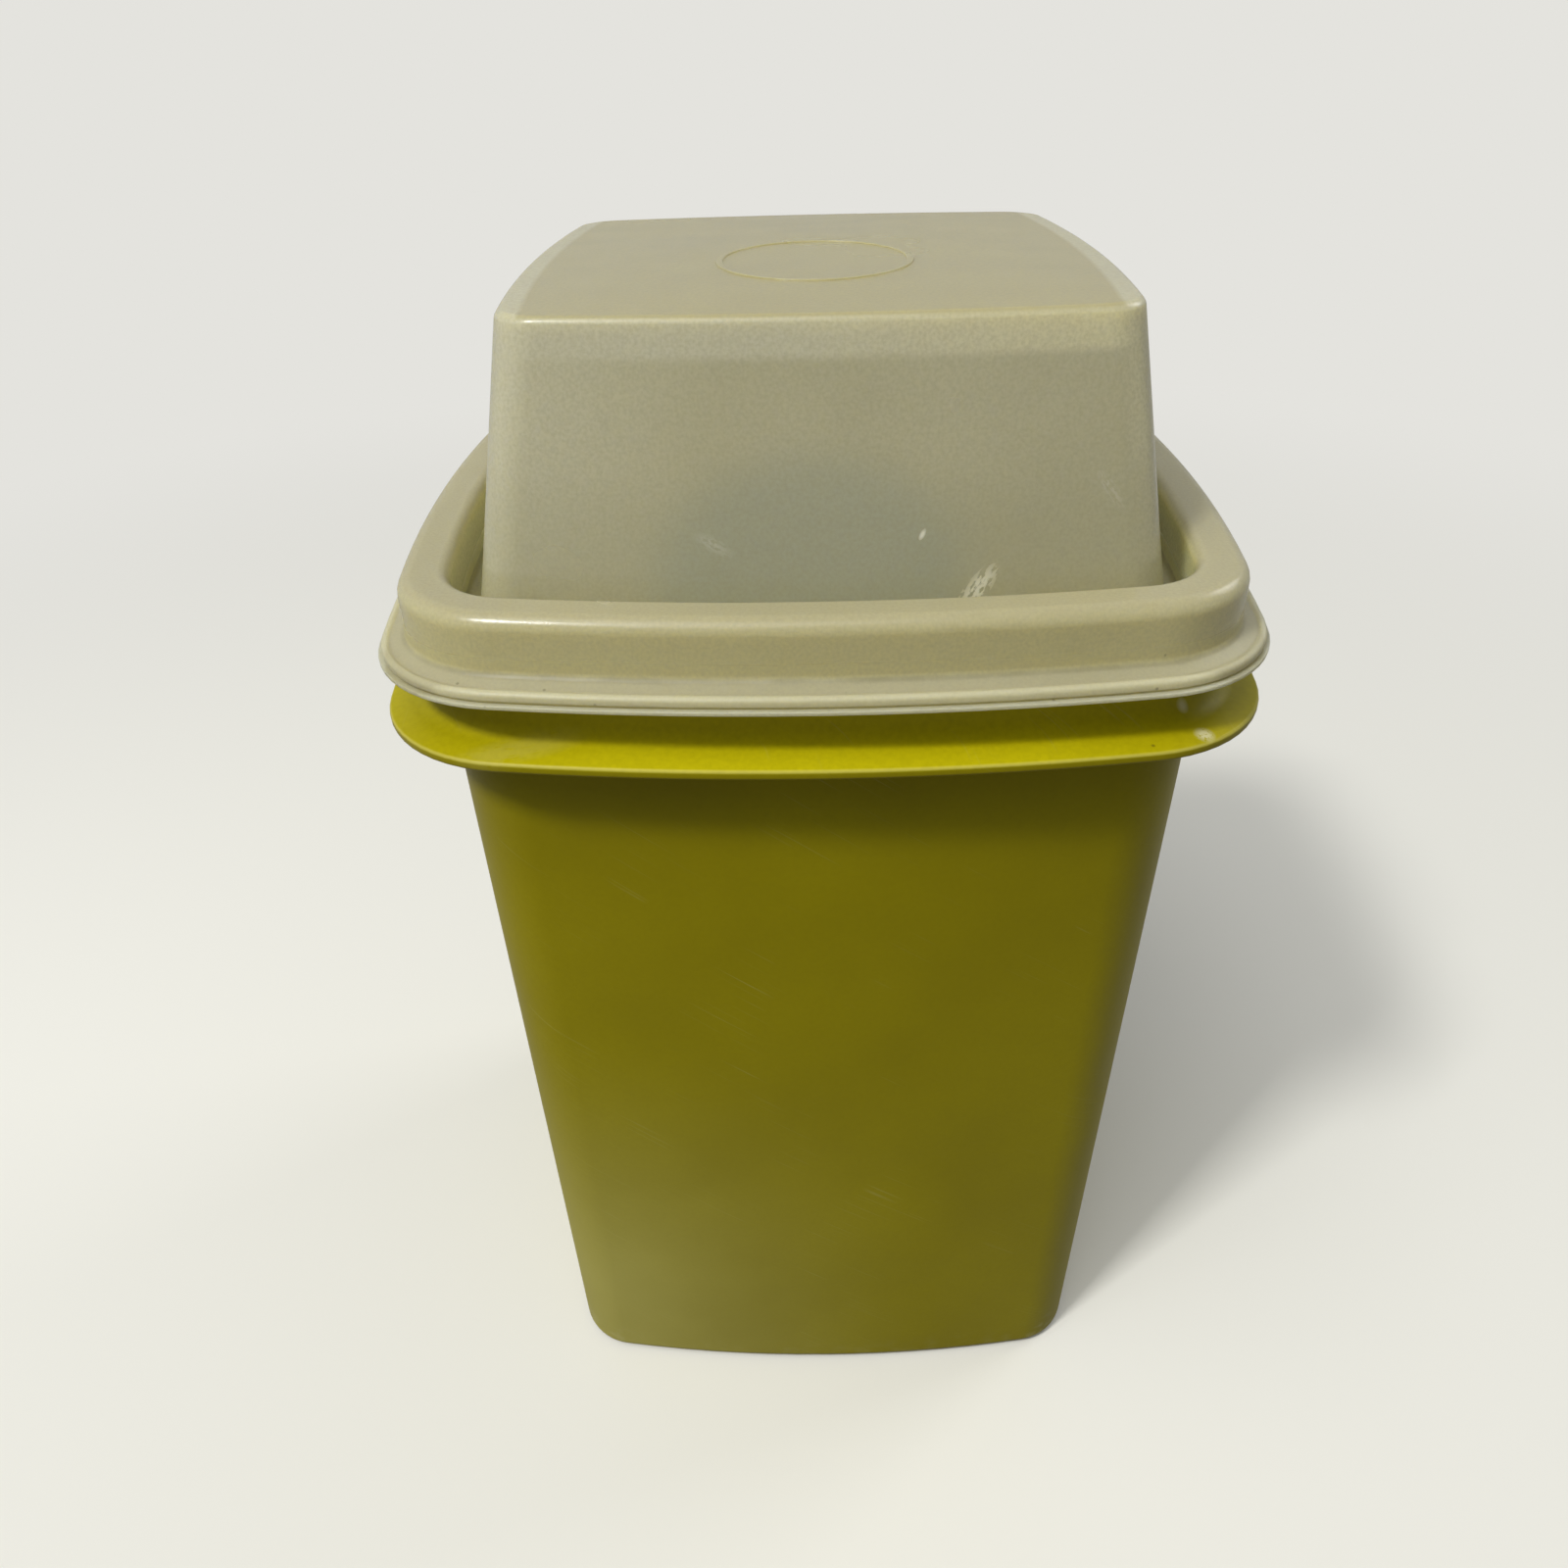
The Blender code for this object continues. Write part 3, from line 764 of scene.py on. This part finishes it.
def moulded_skin(tree, place, marks, grain, depth):
    """The normals of a mould's fine texture and soft waves, with the marks cut into them."""
    waves = add_node(tree, "ShaderNodeTexNoise", {"Vector": place, "Scale": 1 / (22 * MM), "Detail": 1.0})
    shrinkage = add_node(tree, "ShaderNodeBump", {"Strength": 0.5, "Distance": 0.5 * MM, "Height": waves})
    texture = add_node(tree, "ShaderNodeTexNoise", {"Vector": place, "Scale": 1 / grain, "Detail": 3.0})
    fine = add_node(tree, "ShaderNodeBump", {
        "Strength": 0.6, "Distance": depth, "Height": texture, "Normal": shrinkage,
    })
    return add_node(tree, "ShaderNodeBump", {
        "Strength": 0.12, "Distance": 0.02 * MM, "Height": marks, "Normal": fine,
    }, invert=True)


def paint(tree, ground, coats):
    """Lays coats of (factor, share, hex colour) over a ground, one on the other."""
    colour = srgb(ground)
    for factor, share, over in coats:
        colour = add_node(tree, "ShaderNodeMix", {
            "Factor": product(tree, factor, share), "A": colour, "B": srgb(over),
        }, data_type="RGBA")
    return colour


def roughened(tree, ground, wear):
    """A ground's roughness with wear on it, each (factor, how much rougher)."""
    for factor, amount in wear:
        ground = add_node(tree, "ShaderNodeMath", {0: factor, 1: amount, 2: ground}, operation="MULTIPLY_ADD")
    return ground


# %% [markdown]
# ## Where on the piece
#
# Wear, colour and painted light follow the shape: the foot rubs on shelves, the brim is thin and its upper
# face is painted lighter, the lid's bead lies on the green rim, whose colour is painted into it. A square
# moulding is described well by three numbers: a point's height, how far out it lies, and how near it is to a
# corner. How far out is the larger of its distances along X and Y, with what the bowed side has lost there
# added back, so that it's the same all along a side. The smaller one tells of corners.
#
# A Map Range node turns such a number into a mask. Each plastic has a table of them. A row gives a mask's
# curve, its name, what it reads, where it starts and ends, and its two values there if not 0 and 1.

# %% Where on the piece
LINEAR, SMOOTH = "LINEAR", "SMOOTHSTEP"
ROW = ("Value", "From Min", "From Max", "To Min", "To Max")


def unbowed(tree, reach, cornered, radius):
    """A reach, with what a side bowed to that radius has lost there added back."""
    return add_node(tree, "ShaderNodeMath", {
        0: product(tree, cornered, cornered), 1: 0.5 / radius, 2: reach,
    }, operation="MULTIPLY_ADD")


def whereabouts(tree, place):
    """A point's place along X, its height, how far out it is, and how near to a corner."""
    parts = add_node(tree, "ShaderNodeSeparateXYZ", {"Vector": place}).outputs
    sizes = [add_node(tree, "ShaderNodeMath", {0: parts[axis]}, operation="ABSOLUTE") for axis in "XY"]
    cornered = product(tree, *sizes, operation="MINIMUM")
    out = unbowed(tree, largest(tree, *sizes), cornered, side_radius(WALL_AT_BRIM, BODY_PLAN))
    return parts["X"], parts["Z"], out, cornered


def off_level(tree, height, level_height):
    """How far a point is above or below a level."""
    above = add_node(tree, "ShaderNodeMath", {0: height, 1: level_height}, operation="SUBTRACT")
    return add_node(tree, "ShaderNodeMath", {0: above}, operation="ABSOLUTE")


# %% [markdown]
# ## The canister's plastic
#
# Low-density polyethylene with an avocado pigment, injection moulded and never painted. The pigment is
# strong, so the colour is deep in the thick walls and lighter in the brim and the rim, where the plastic is
# thin enough to let some light in; their upper faces are also painted lighter as painted light from above,
# with painted shade towards the brim's ends. Decades of washing have left a pale haze on the lower walls, and
# a painted reflection of the floor makes it stronger on one side. The foot and the corners above it are
# rubbed, a painted highlight runs along the brim's upper edge, and its front is chipped near one end. The
# surface is satin, with a soft sheen.

# %% The canister's plastic


def avocado_polyethylene():
    material, tree, shader, place = new_plastic("avocado_polyethylene_moulded", Specular_IOR_Level=0.12)
    x, height, out, cornered = whereabouts(tree, place)
    from_edge = off_level(tree, height, BRIM_ROOT - 0.1 * MM)
    cloud, grain, blotches = (
        add_node(tree, "ShaderNodeTexNoise", {"Vector": place, "Scale": 1 / cell, "Detail": detail})
        for cell, detail in ((34 * MM, 3.0), (0.9 * MM, 2.0), (3.2 * MM, 4.0))
    )
    mask = SimpleNamespace()
    for curve, name, *row in (
        (LINEAR, "pigment", cloud, 0.3, 0.7),
        (LINEAR, "speckle", grain, 0.35, 0.7),
        (LINEAR, "above_root", height, BRIM_ROOT - 0.5 * MM, BRIM_ROOT),
        # painted shade: the brim's lighter colour is dimmed towards its ends
        (LINEAR, "off_corner", cornered, 30 * MM, 58 * MM, 1.0, 0.45),
        (LINEAR, "at_edge", from_edge, 0.26 * MM, 0.1 * MM),
        (LINEAR, "outermost", out, 63 * MM, 64 * MM),
        (SMOOTH, "low", height, 105 * MM, 0.0),
        (SMOOTH, "one_side", x, 24 * MM, -62 * MM, 0.0, 0.72),
        (LINEAR, "uneven", cloud, 0.25, 0.75, 0.75, 1.2),
        (LINEAR, "foot", height, 9 * MM, 1 * MM),
        (LINEAR, "corner", cornered, 42 * MM, 50 * MM, 0.15),
        (LINEAR, "broken", blotches, 0.5, 0.68),
        (LINEAR, "on_brim", out, WALL_AT_BRIM + 2 * MM, WALL_AT_BRIM + 2.4 * MM),
        (LINEAR, "satin", cloud, 0.3, 0.7, 0.36, 0.44),
    ):
        setattr(mask, name, add_node(tree, "ShaderNodeMapRange", dict(zip(ROW, row)), interpolation_type=curve))

    # partly the thinner plastic and partly painted light: the upper faces of the brim and rim are painted lighter
    thin = product(tree, mask.above_root, mask.off_corner)
    # painted highlight: a pale line along the brim's upper outer edge
    worn_edge = product(tree, mask.at_edge, mask.outermost)
    # a pale haze from washing on the lower walls, and a painted reflection of the floor that makes it stronger on the
    # left
    film = product(tree, mask.low, mask.one_side, mask.uneven)
    rubbed = product(tree, mask.foot, mask.corner, mask.broken)
    lines = scratches(tree, place, (0.5, 0.4, 0.9), 0.16)
    chips = specks(tree, place, 26 * MM, 0.9 * MM, 0.22)
    dirt = specks(tree, place, 11 * MM, 0.4 * MM, 0.12)
    big_chip = scuff(tree, place, (54.1, -62.9, 167.0), (1.7, 1.7, 2.0), 0.1)
    small_chip = scuff(tree, place, (52.0, -58.5, 169.5), (1.2, 1.2, 1.5), 0.3)
    smear = scuff(tree, place, (-44.0, -64.5, 167.5), (12.0, 3.0, 4.0), 0.12, (0, 0, 0.25))
    brim_chips = largest(tree, product(tree, chips, mask.on_brim), big_chip, small_chip)

    colour = paint(tree, "#8E8200", [
        (mask.pigment, 1, "#988C04"),
        (thin, 1, "#C0B40A"),
        (mask.speckle, 0.16, "#7E7400"),
        (film, 1, "#BFB768"),
        (rubbed, 0.55, "#D5D0A0"),
        (smear, 0.08, "#E0D9A0"),
        (worn_edge, 0.28, "#E4DC80"),
        (lines, 0.15, "#CBC482"),
        (brim_chips, 0.65, "#E2DDB4"),
        (dirt, 0.6, "#4A4010"),
    ])
    roughness = roughened(tree, mask.satin, [(film, 0.16), (rubbed, 0.2), (lines, 0.15)])
    skin = moulded_skin(tree, place, largest(tree, lines, brim_chips), 0.9 * MM, 0.03 * MM)
    fill_shader(tree, shader, Base_Color=colour, Roughness=roughness, Normal=skin)
    return material


# %% [markdown]
# ## The lid's plastic
#
# The same polyethylene without pigment. It is naturally milky: light goes in, wanders about two millimetres
# and comes out again, so a wall shows soft edges and glows where it is thick. The shader's subsurface share
# does that, and a smaller transmission share lets a blurred hint of what lies behind come through. With age
# it has turned yellow along the bead and in the moat, and the green of the rim seen through the wall is
# painted in there as well. The moat is painted lighter still, as painted light that comes through the wall.
#
# The wall is painted paler where it is seen through more plastic, as painted light that such a wall would
# scatter: along the dome's upright corners, in a band under its top edge, and along the two side edges of the
# top. Those painted bands are laid in by height and reach. More painted light goes on the right side's bands
# and on the whole left side of the dome, and the skirt's rolled lip is painted lighter. The dome's top gets
# painted shade, and so do its lower part, a bluish arch low on its front, and the skirt's slope. The bead's
# crest is painted darker, and the skirt is darker along its crease in broken patches. The front of the dome
# has a gouge, a nick and two faint rubs.

# %% The lid's plastic
LIGHT_PATH_IN_PLASTIC = (3.5 * MM, 3.2 * MM, 2.2 * MM)
BAND_START = DOME_TOP - 5.2 * MM
CORNER_BAND_START = DOME_FOOT_HALF + DOME_DRAFT * MOAT_FLOOR - 5.2 * MM
TOP_BAND_START = DOME_TOP_HALF - 3.6 * MM


def frosted_polyethylene():
    material, tree, shader, place = new_plastic(
        "natural_polyethylene_frosted", Specular_IOR_Level=0.36, Transmission_Weight=0.2, Subsurface_Weight=0.85,
        Subsurface_Radius=LIGHT_PATH_IN_PLASTIC, Subsurface_Scale=1.0,
    )
    x, height, out, cornered = whereabouts(tree, place)
    lean = add_node(tree, "ShaderNodeMath", {0: height, 1: DOME_DRAFT, 2: cornered}, operation="MULTIPLY_ADD")
    across = add_node(tree, "ShaderNodeMath", {0: x}, operation="ABSOLUTE")
    to_side = unbowed(tree, across, cornered, side_radius(DOME_TOP_HALF, DOME_PLAN))
    from_crease = off_level(tree, height, skirt_root + 0.05 * MM)
    arch_place = add_node(tree, "ShaderNodeMapping", {
        "Vector": place, "Location": (-1.8 * MM, 0, MOAT_FLOOR + 7 * MM), "Scale": (23 * MM, 1.0, 20 * MM),
    }, vector_type="TEXTURE")
    from_arch = add_node(tree, "ShaderNodeVectorMath", {0: arch_place}, operation="LENGTH")
    cloud, grain, blotches = (
        add_node(tree, "ShaderNodeTexNoise", {"Vector": place, "Scale": 1 / cell, "Detail": detail})
        for cell, detail in ((26 * MM, 2.0), (0.5 * MM, 3.0), (7 * MM, 3.0))
    )
    mask = SimpleNamespace()
    for curve, name, *row in (
        (LINEAR, "mottle", cloud, 0.3, 0.7),
        (LINEAR, "frost", grain, 0.35, 0.7),
        (LINEAR, "top_panel", height, DOME_TOP - MM, DOME_TOP),
        (LINEAR, "above_bead", height, CREST, CREST + MM),
        (SMOOTH, "top_band", height, BAND_START - 0.8 * MM, BAND_START + 0.8 * MM),
        (SMOOTH, "corner_band", lean, CORNER_BAND_START - 3 * MM, CORNER_BAND_START + 1.5 * MM),
        (LINEAR, "off_top", height, DOME_TOP - 0.9 * MM, DOME_TOP - 0.2 * MM, 1.0, 0.1),
        (LINEAR, "side_of_top", to_side, TOP_BAND_START - 0.6 * MM, TOP_BAND_START + 0.4 * MM, 0.0, 0.7),
        (LINEAR, "right", x, -5 * MM, 38 * MM),
        (LINEAR, "left", x, -18 * MM, -40 * MM),
        (LINEAR, "lip", out, LIP_HALF - 1.6 * MM, LIP_HALF - 0.9 * MM),
        (LINEAR, "off_lip", out, LIP_HALF - 0.9 * MM, LIP_HALF - 1.6 * MM),
        (LINEAR, "off_dome", out, DOME_FOOT_HALF + 0.2 * MM, DOME_FOOT_HALF + 1.2 * MM),
        (LINEAR, "on_dome", out, DOME_FOOT_HALF + 1.2 * MM, DOME_FOOT_HALF + 0.2 * MM),
        (SMOOTH, "on_rim", height, CREST + 0.2 * MM, CREST - 2.6 * MM),
        (LINEAR, "over_skirt", height, skirt_root - 0.5 * MM, skirt_root + 0.5 * MM, 0.15),
        (LINEAR, "crest", height, CREST - 1.4 * MM, CREST - 0.3 * MM),
        (LINEAR, "moat", out, BEAD_INNER + 2.2 * MM, BEAD_INNER + 1.4 * MM),
        (LINEAR, "below_crest", height, CREST - 0.6 * MM, CREST - 2 * MM),
        (SMOOTH, "arch", from_arch, 1.2, 0.75),
        (SMOOTH, "low", height, MOAT_FLOOR + 30 * MM, MOAT_FLOOR + 13 * MM),
        (LINEAR, "skirt", height, skirt_root + 2.5 * MM, skirt_root + 1.2 * MM),
        (LINEAR, "below_root", height, skirt_root + 0.3 * MM, skirt_root - 0.1 * MM),
        (LINEAR, "crease", from_crease, 0.45 * MM, 0.1 * MM),
        (LINEAR, "broken", blotches, 0.38, 0.62),
        (LINEAR, "satin", cloud, 0.3, 0.7, 0.2, 0.28),
    ):
        setattr(mask, name, add_node(tree, "ShaderNodeMapRange", dict(zip(ROW, row)), interpolation_type=curve))

    bands = largest(tree, mask.top_band, mask.corner_band)
    # painted light: the wall is painted paler in bands where it is seen through more plastic
    pale = product(tree, mask.above_bead, bands, largest(tree, mask.off_top, mask.side_of_top))
    # painted light: the bands on the dome's right side are painted paler still
    pale_right = product(tree, pale, mask.off_top, mask.right)
    # painted light: the left side of the dome is painted paler
    milky_left = product(tree, mask.above_bead, mask.off_top, mask.left)
    # the bead's crest is painted darker
    crest = product(tree, mask.off_dome, mask.crest)
    # painted shade: the dome is painted darker towards its foot
    low_on_dome = product(tree, mask.on_dome, mask.low)
    # painted shade: a darker bluish arch low on the dome's front
    hollow = product(tree, mask.on_dome, mask.arch)
    # turned yellow with age, with the green of the rim seen through the wall painted in as well
    yellowed = product(tree, mask.on_rim, mask.over_skirt, mask.off_dome)
    # painted light: the moat is painted lighter, for light that comes through the wall
    in_moat = product(tree, mask.off_dome, mask.moat, mask.below_crest)
    on_skirt = product(tree, mask.off_dome, mask.skirt)
    # painted shade: the skirt's slope is painted darker
    slope = product(tree, mask.below_root, mask.off_lip, mask.off_dome)
    # the skirt is painted darker along its crease, in broken patches
    grime = product(tree, mask.crease, mask.broken)
    dirt = product(tree, specks(tree, place, 4 * MM, 0.3 * MM, 0.6), on_skirt)
    gouge = scuff(tree, place, (22.0, -51.7, 185.2), (4.8, 6.0, 1.8), 0.03, (0, -0.9, 0))
    nick = scuff(tree, place, (14.0, -50.9, 193.0), (0.9, 2.0, 0.4), 0.3, (0, -1.1, 0))
    corner_tear = scuff(tree, place, (-61.4, -50.0, 181.0), (3.0, 1.1, 3.0), 0.3, (0.5, 0, 0))
    left_rub = scuff(tree, place, (-15.0, -50.0, 192.0), (3.5, 4.0, 1.2), 0.05, (0, 0.5, 0))
    right_rub = scuff(tree, place, (40.0, -47.0, 198.0), (4.0, 4.0, 1.2), 0.0, (0, 0.9, 0))
    torn = largest(tree, product(tree, gouge, 0.85), nick, product(tree, corner_tear, 0.6))

    colour = paint(tree, "#CBC5A0", [
        (mask.mottle, 1, "#D1CBA7"),
        # painted shade: the dome's top is painted darker
        (mask.top_panel, 0.6, "#AB9D5A"),
        (milky_left, 0.65, "#DCD7B8"),
        (pale, 1, "#DCD7B8"),
        (pale_right, 0.6, "#F4EAB8"),
        (crest, 0.35, "#ADA070"),
        (low_on_dome, 0.5, "#B8B490"),
        (hollow, 0.4, "#A9AF9C"),
        (yellowed, 0.7, "#D6CC8C"),
        (in_moat, 1, "#FFF6B4"),
        (slope, 0.5, "#ADA683"),
        (mask.frost, 0.3, "#A8A282"),
        # painted light: the skirt's rolled lip is painted lighter
        (mask.lip, 0.3, "#E2DCB8"),
        (grime, 0.3, "#7A7240"),
        (largest(tree, left_rub, right_rub), 0.25, "#F4F0DC"),
        (torn, 1, "#FFF8DC"),
        (dirt, 0.5, "#5E5636"),
    ])
    roughness = roughened(tree, mask.satin, [(on_skirt, 0.22), (torn, 0.3)])
    skin = moulded_skin(tree, place, torn, 0.5 * MM, 0.04 * MM)
    fill_shader(tree, shader, Base_Color=colour, Roughness=roughness, Normal=skin)
    return material


# %% [markdown]
# ## The strainer's plastic
#
# Natural polyethylene again, a little thicker and so more milky. Vinegar and dill have stained the tray, and
# the stain fades upwards along the arms. Plastic that flowed up the long arms in the mould left faint streaks.

# %% The strainer's plastic


def milky_polyethylene():
    material, tree, shader, place = new_plastic(
        "natural_polyethylene_milky", Specular_IOR_Level=0.45, Subsurface_Weight=0.6,
        Subsurface_Radius=LIGHT_PATH_IN_PLASTIC, Subsurface_Scale=1.0,
    )
    height = add_node(tree, "ShaderNodeSeparateXYZ", {"Vector": place}).outputs["Z"]
    drawn_out = add_node(tree, "ShaderNodeMapping", {
        "Vector": place, "Scale": (5 * MM, 5 * MM, 60 * MM),
    }, vector_type="TEXTURE")
    flow = add_node(tree, "ShaderNodeTexNoise", {"Vector": drawn_out, "Scale": 1.0, "Detail": 3.0})
    cloud = add_node(tree, "ShaderNodeTexNoise", {"Vector": place, "Scale": 1 / (16 * MM), "Detail": 3.0})
    mask = SimpleNamespace()
    for curve, name, *row in (
        (LINEAR, "streaks", flow, 0.35, 0.65),
        (SMOOTH, "low", height, 75 * MM, TRAY_TOP, 0.1, 0.8),
        (LINEAR, "uneven", cloud, 0.3, 0.65, 0.4),
        (LINEAR, "satin", cloud, 0.3, 0.7, 0.34, 0.44),
    ):
        setattr(mask, name, add_node(tree, "ShaderNodeMapRange", dict(zip(ROW, row)), interpolation_type=curve))
    lines = scratches(tree, place, (0.2, 0.5, 0.2), 0.2)

    colour = paint(tree, "#CFCCBB", [
        (mask.streaks, 0.5, "#DDDACB"),
        (product(tree, mask.low, mask.uneven), 0.7, "#C2B67C"),
        (lines, 0.15, "#EFEDE2"),
    ])
    roughness = roughened(tree, mask.satin, [(lines, 0.15)])
    skin = moulded_skin(tree, place, lines, 0.8 * MM, 0.03 * MM)
    fill_shader(tree, shader, Base_Color=colour, Roughness=roughness, Normal=skin)
    return material


# %% The plastics go on
for piece, plastic in (
    (canister, avocado_polyethylene()), (lid, frosted_polyethylene()), (strainer, milky_polyethylene()),
):
    piece.data.materials.clear()
    piece.data.materials.append(plastic)
    print(piece.name, "is of", plastic.name, "with", len(plastic.node_tree.nodes), "nodes")

# %% [markdown]
# ## A plain studio
#
# The keeper stands on a pale painted board, under a small lamp, a wide soft one, and a weak one behind it.
# The surroundings add a little bluish light. The camera and the clear parts see them in their own pale
# colour instead, and reflections do so in part: the background is pale, but doesn't light the plastic more.

# %% The world
BACKGROUND = srgb("#E4E3DE")
AMBIENT = 0.3
REFLECTED_SHARE = 0.4           # satin plastic mirrors the backdrop only in part


def seen_directly(tree):
    """One for rays that show the surroundings as they look, and zero for rays that only light the object."""
    path = tree.nodes.new("ShaderNodeLightPath").outputs
    through = largest(tree, path["Is Camera Ray"], path["Is Transmission Ray"])
    return add_node(tree, "ShaderNodeMath", {
        0: path["Is Glossy Ray"], 1: REFLECTED_SHARE, 2: through,
    }, operation="MULTIPLY_ADD", use_clamp=True)


world = bpy.data.worlds.new("studio")
world.use_nodes = True
bpy.context.scene.world = world
tree = world.node_tree
tree.nodes.clear()
ambient = add_node(tree, "ShaderNodeBackground", {"Color": srgb("#E6EAF0"), "Strength": AMBIENT})
backdrop = add_node(tree, "ShaderNodeBackground", {"Color": BACKGROUND, "Strength": 1.0})
mixed = add_node(tree, "ShaderNodeMixShader", {0: seen_directly(tree), 1: ambient, 2: backdrop})
add_node(tree, "ShaderNodeOutputWorld", {"Surface": mixed})

# %% The floor
FADE_START, FADE_END = 0.22, 0.8

deselect_everything()
bpy.ops.mesh.primitive_plane_add(size=60)
floor = bpy.context.object
floor.name = "floor"
floor_material = bpy.data.materials.new("painted_board")
floor_material.use_nodes = True
tree = floor_material.node_tree
tree.nodes.clear()
place = add_node(tree, "ShaderNodeTexCoord").outputs["Object"]
distance = add_node(tree, "ShaderNodeVectorMath", {0: place}, operation="LENGTH")
far = add_node(tree, "ShaderNodeMapRange", {
    "Value": distance, "From Min": FADE_START, "From Max": FADE_END,
}, interpolation_type="SMOOTHSTEP")
seen = seen_directly(tree)
shade = add_node(tree, "ShaderNodeMix", {
    "Factor": seen, "A": srgb("#706E6A"), "B": srgb("#F0EEE4"),
}, data_type="RGBA")
board = add_node(tree, "ShaderNodeBsdfPrincipled", {"Base Color": shade, "Roughness": 0.8, "Specular IOR Level": 0.2})
glow = add_node(tree, "ShaderNodeEmission", {"Color": BACKGROUND, "Strength": 1.0})
surface = add_node(tree, "ShaderNodeMixShader", {0: product(tree, far, seen), 1: board, 2: glow})
add_node(tree, "ShaderNodeOutputMaterial", {"Surface": surface})
floor.data.materials.append(floor_material)

# %% The lights
AIM = Vector((0, 0, 0.12))

for name, place, size, power in (
    ("key", (-0.85, -0.8, 1.54), 0.24, 17),
    ("ceiling", (-0.5, -0.7, 1.7), 1.3, 13),
    ("edge", (1.0, 0.5, 0.9), 0.5, 3),
):
    lamp = bpy.data.lights.new(name, "AREA")
    lamp.size = size
    lamp.energy = power
    light = bpy.data.objects.new(name, lamp)
    bpy.context.scene.collection.objects.link(light)
    light.location = place
    light.rotation_euler = (AIM - Vector(place)).to_track_quat("-Z", "Y").to_euler()
    print(f"{name}: {size} m square, {power} W")

# %% The camera
EYE = Vector((-3.67, -202.3, 252.7)) * MM
PITCH, YAW, ROLL = 0.588, -0.016, 0.025

camera_data = bpy.data.cameras.new("camera")
camera_data.sensor_width = 36
camera_data.lens = 26.26
camera = bpy.data.objects.new("camera", camera_data)
bpy.context.scene.collection.objects.link(camera)
ahead = Vector((math.sin(YAW) * math.cos(PITCH), math.cos(YAW) * math.cos(PITCH), -math.sin(PITCH)))
right = Vector((math.cos(YAW), -math.sin(YAW), 0))
down = ahead.cross(right)
rolled_right = math.cos(ROLL) * right + math.sin(ROLL) * down
rolled_down = math.cos(ROLL) * down - math.sin(ROLL) * right
axes = Matrix((rolled_right, -rolled_down, -ahead)).transposed()
camera.matrix_world = Matrix.Translation(EYE) @ axes.to_4x4()
bpy.context.scene.camera = camera
bpy.context.scene.view_settings.view_transform = "Standard"
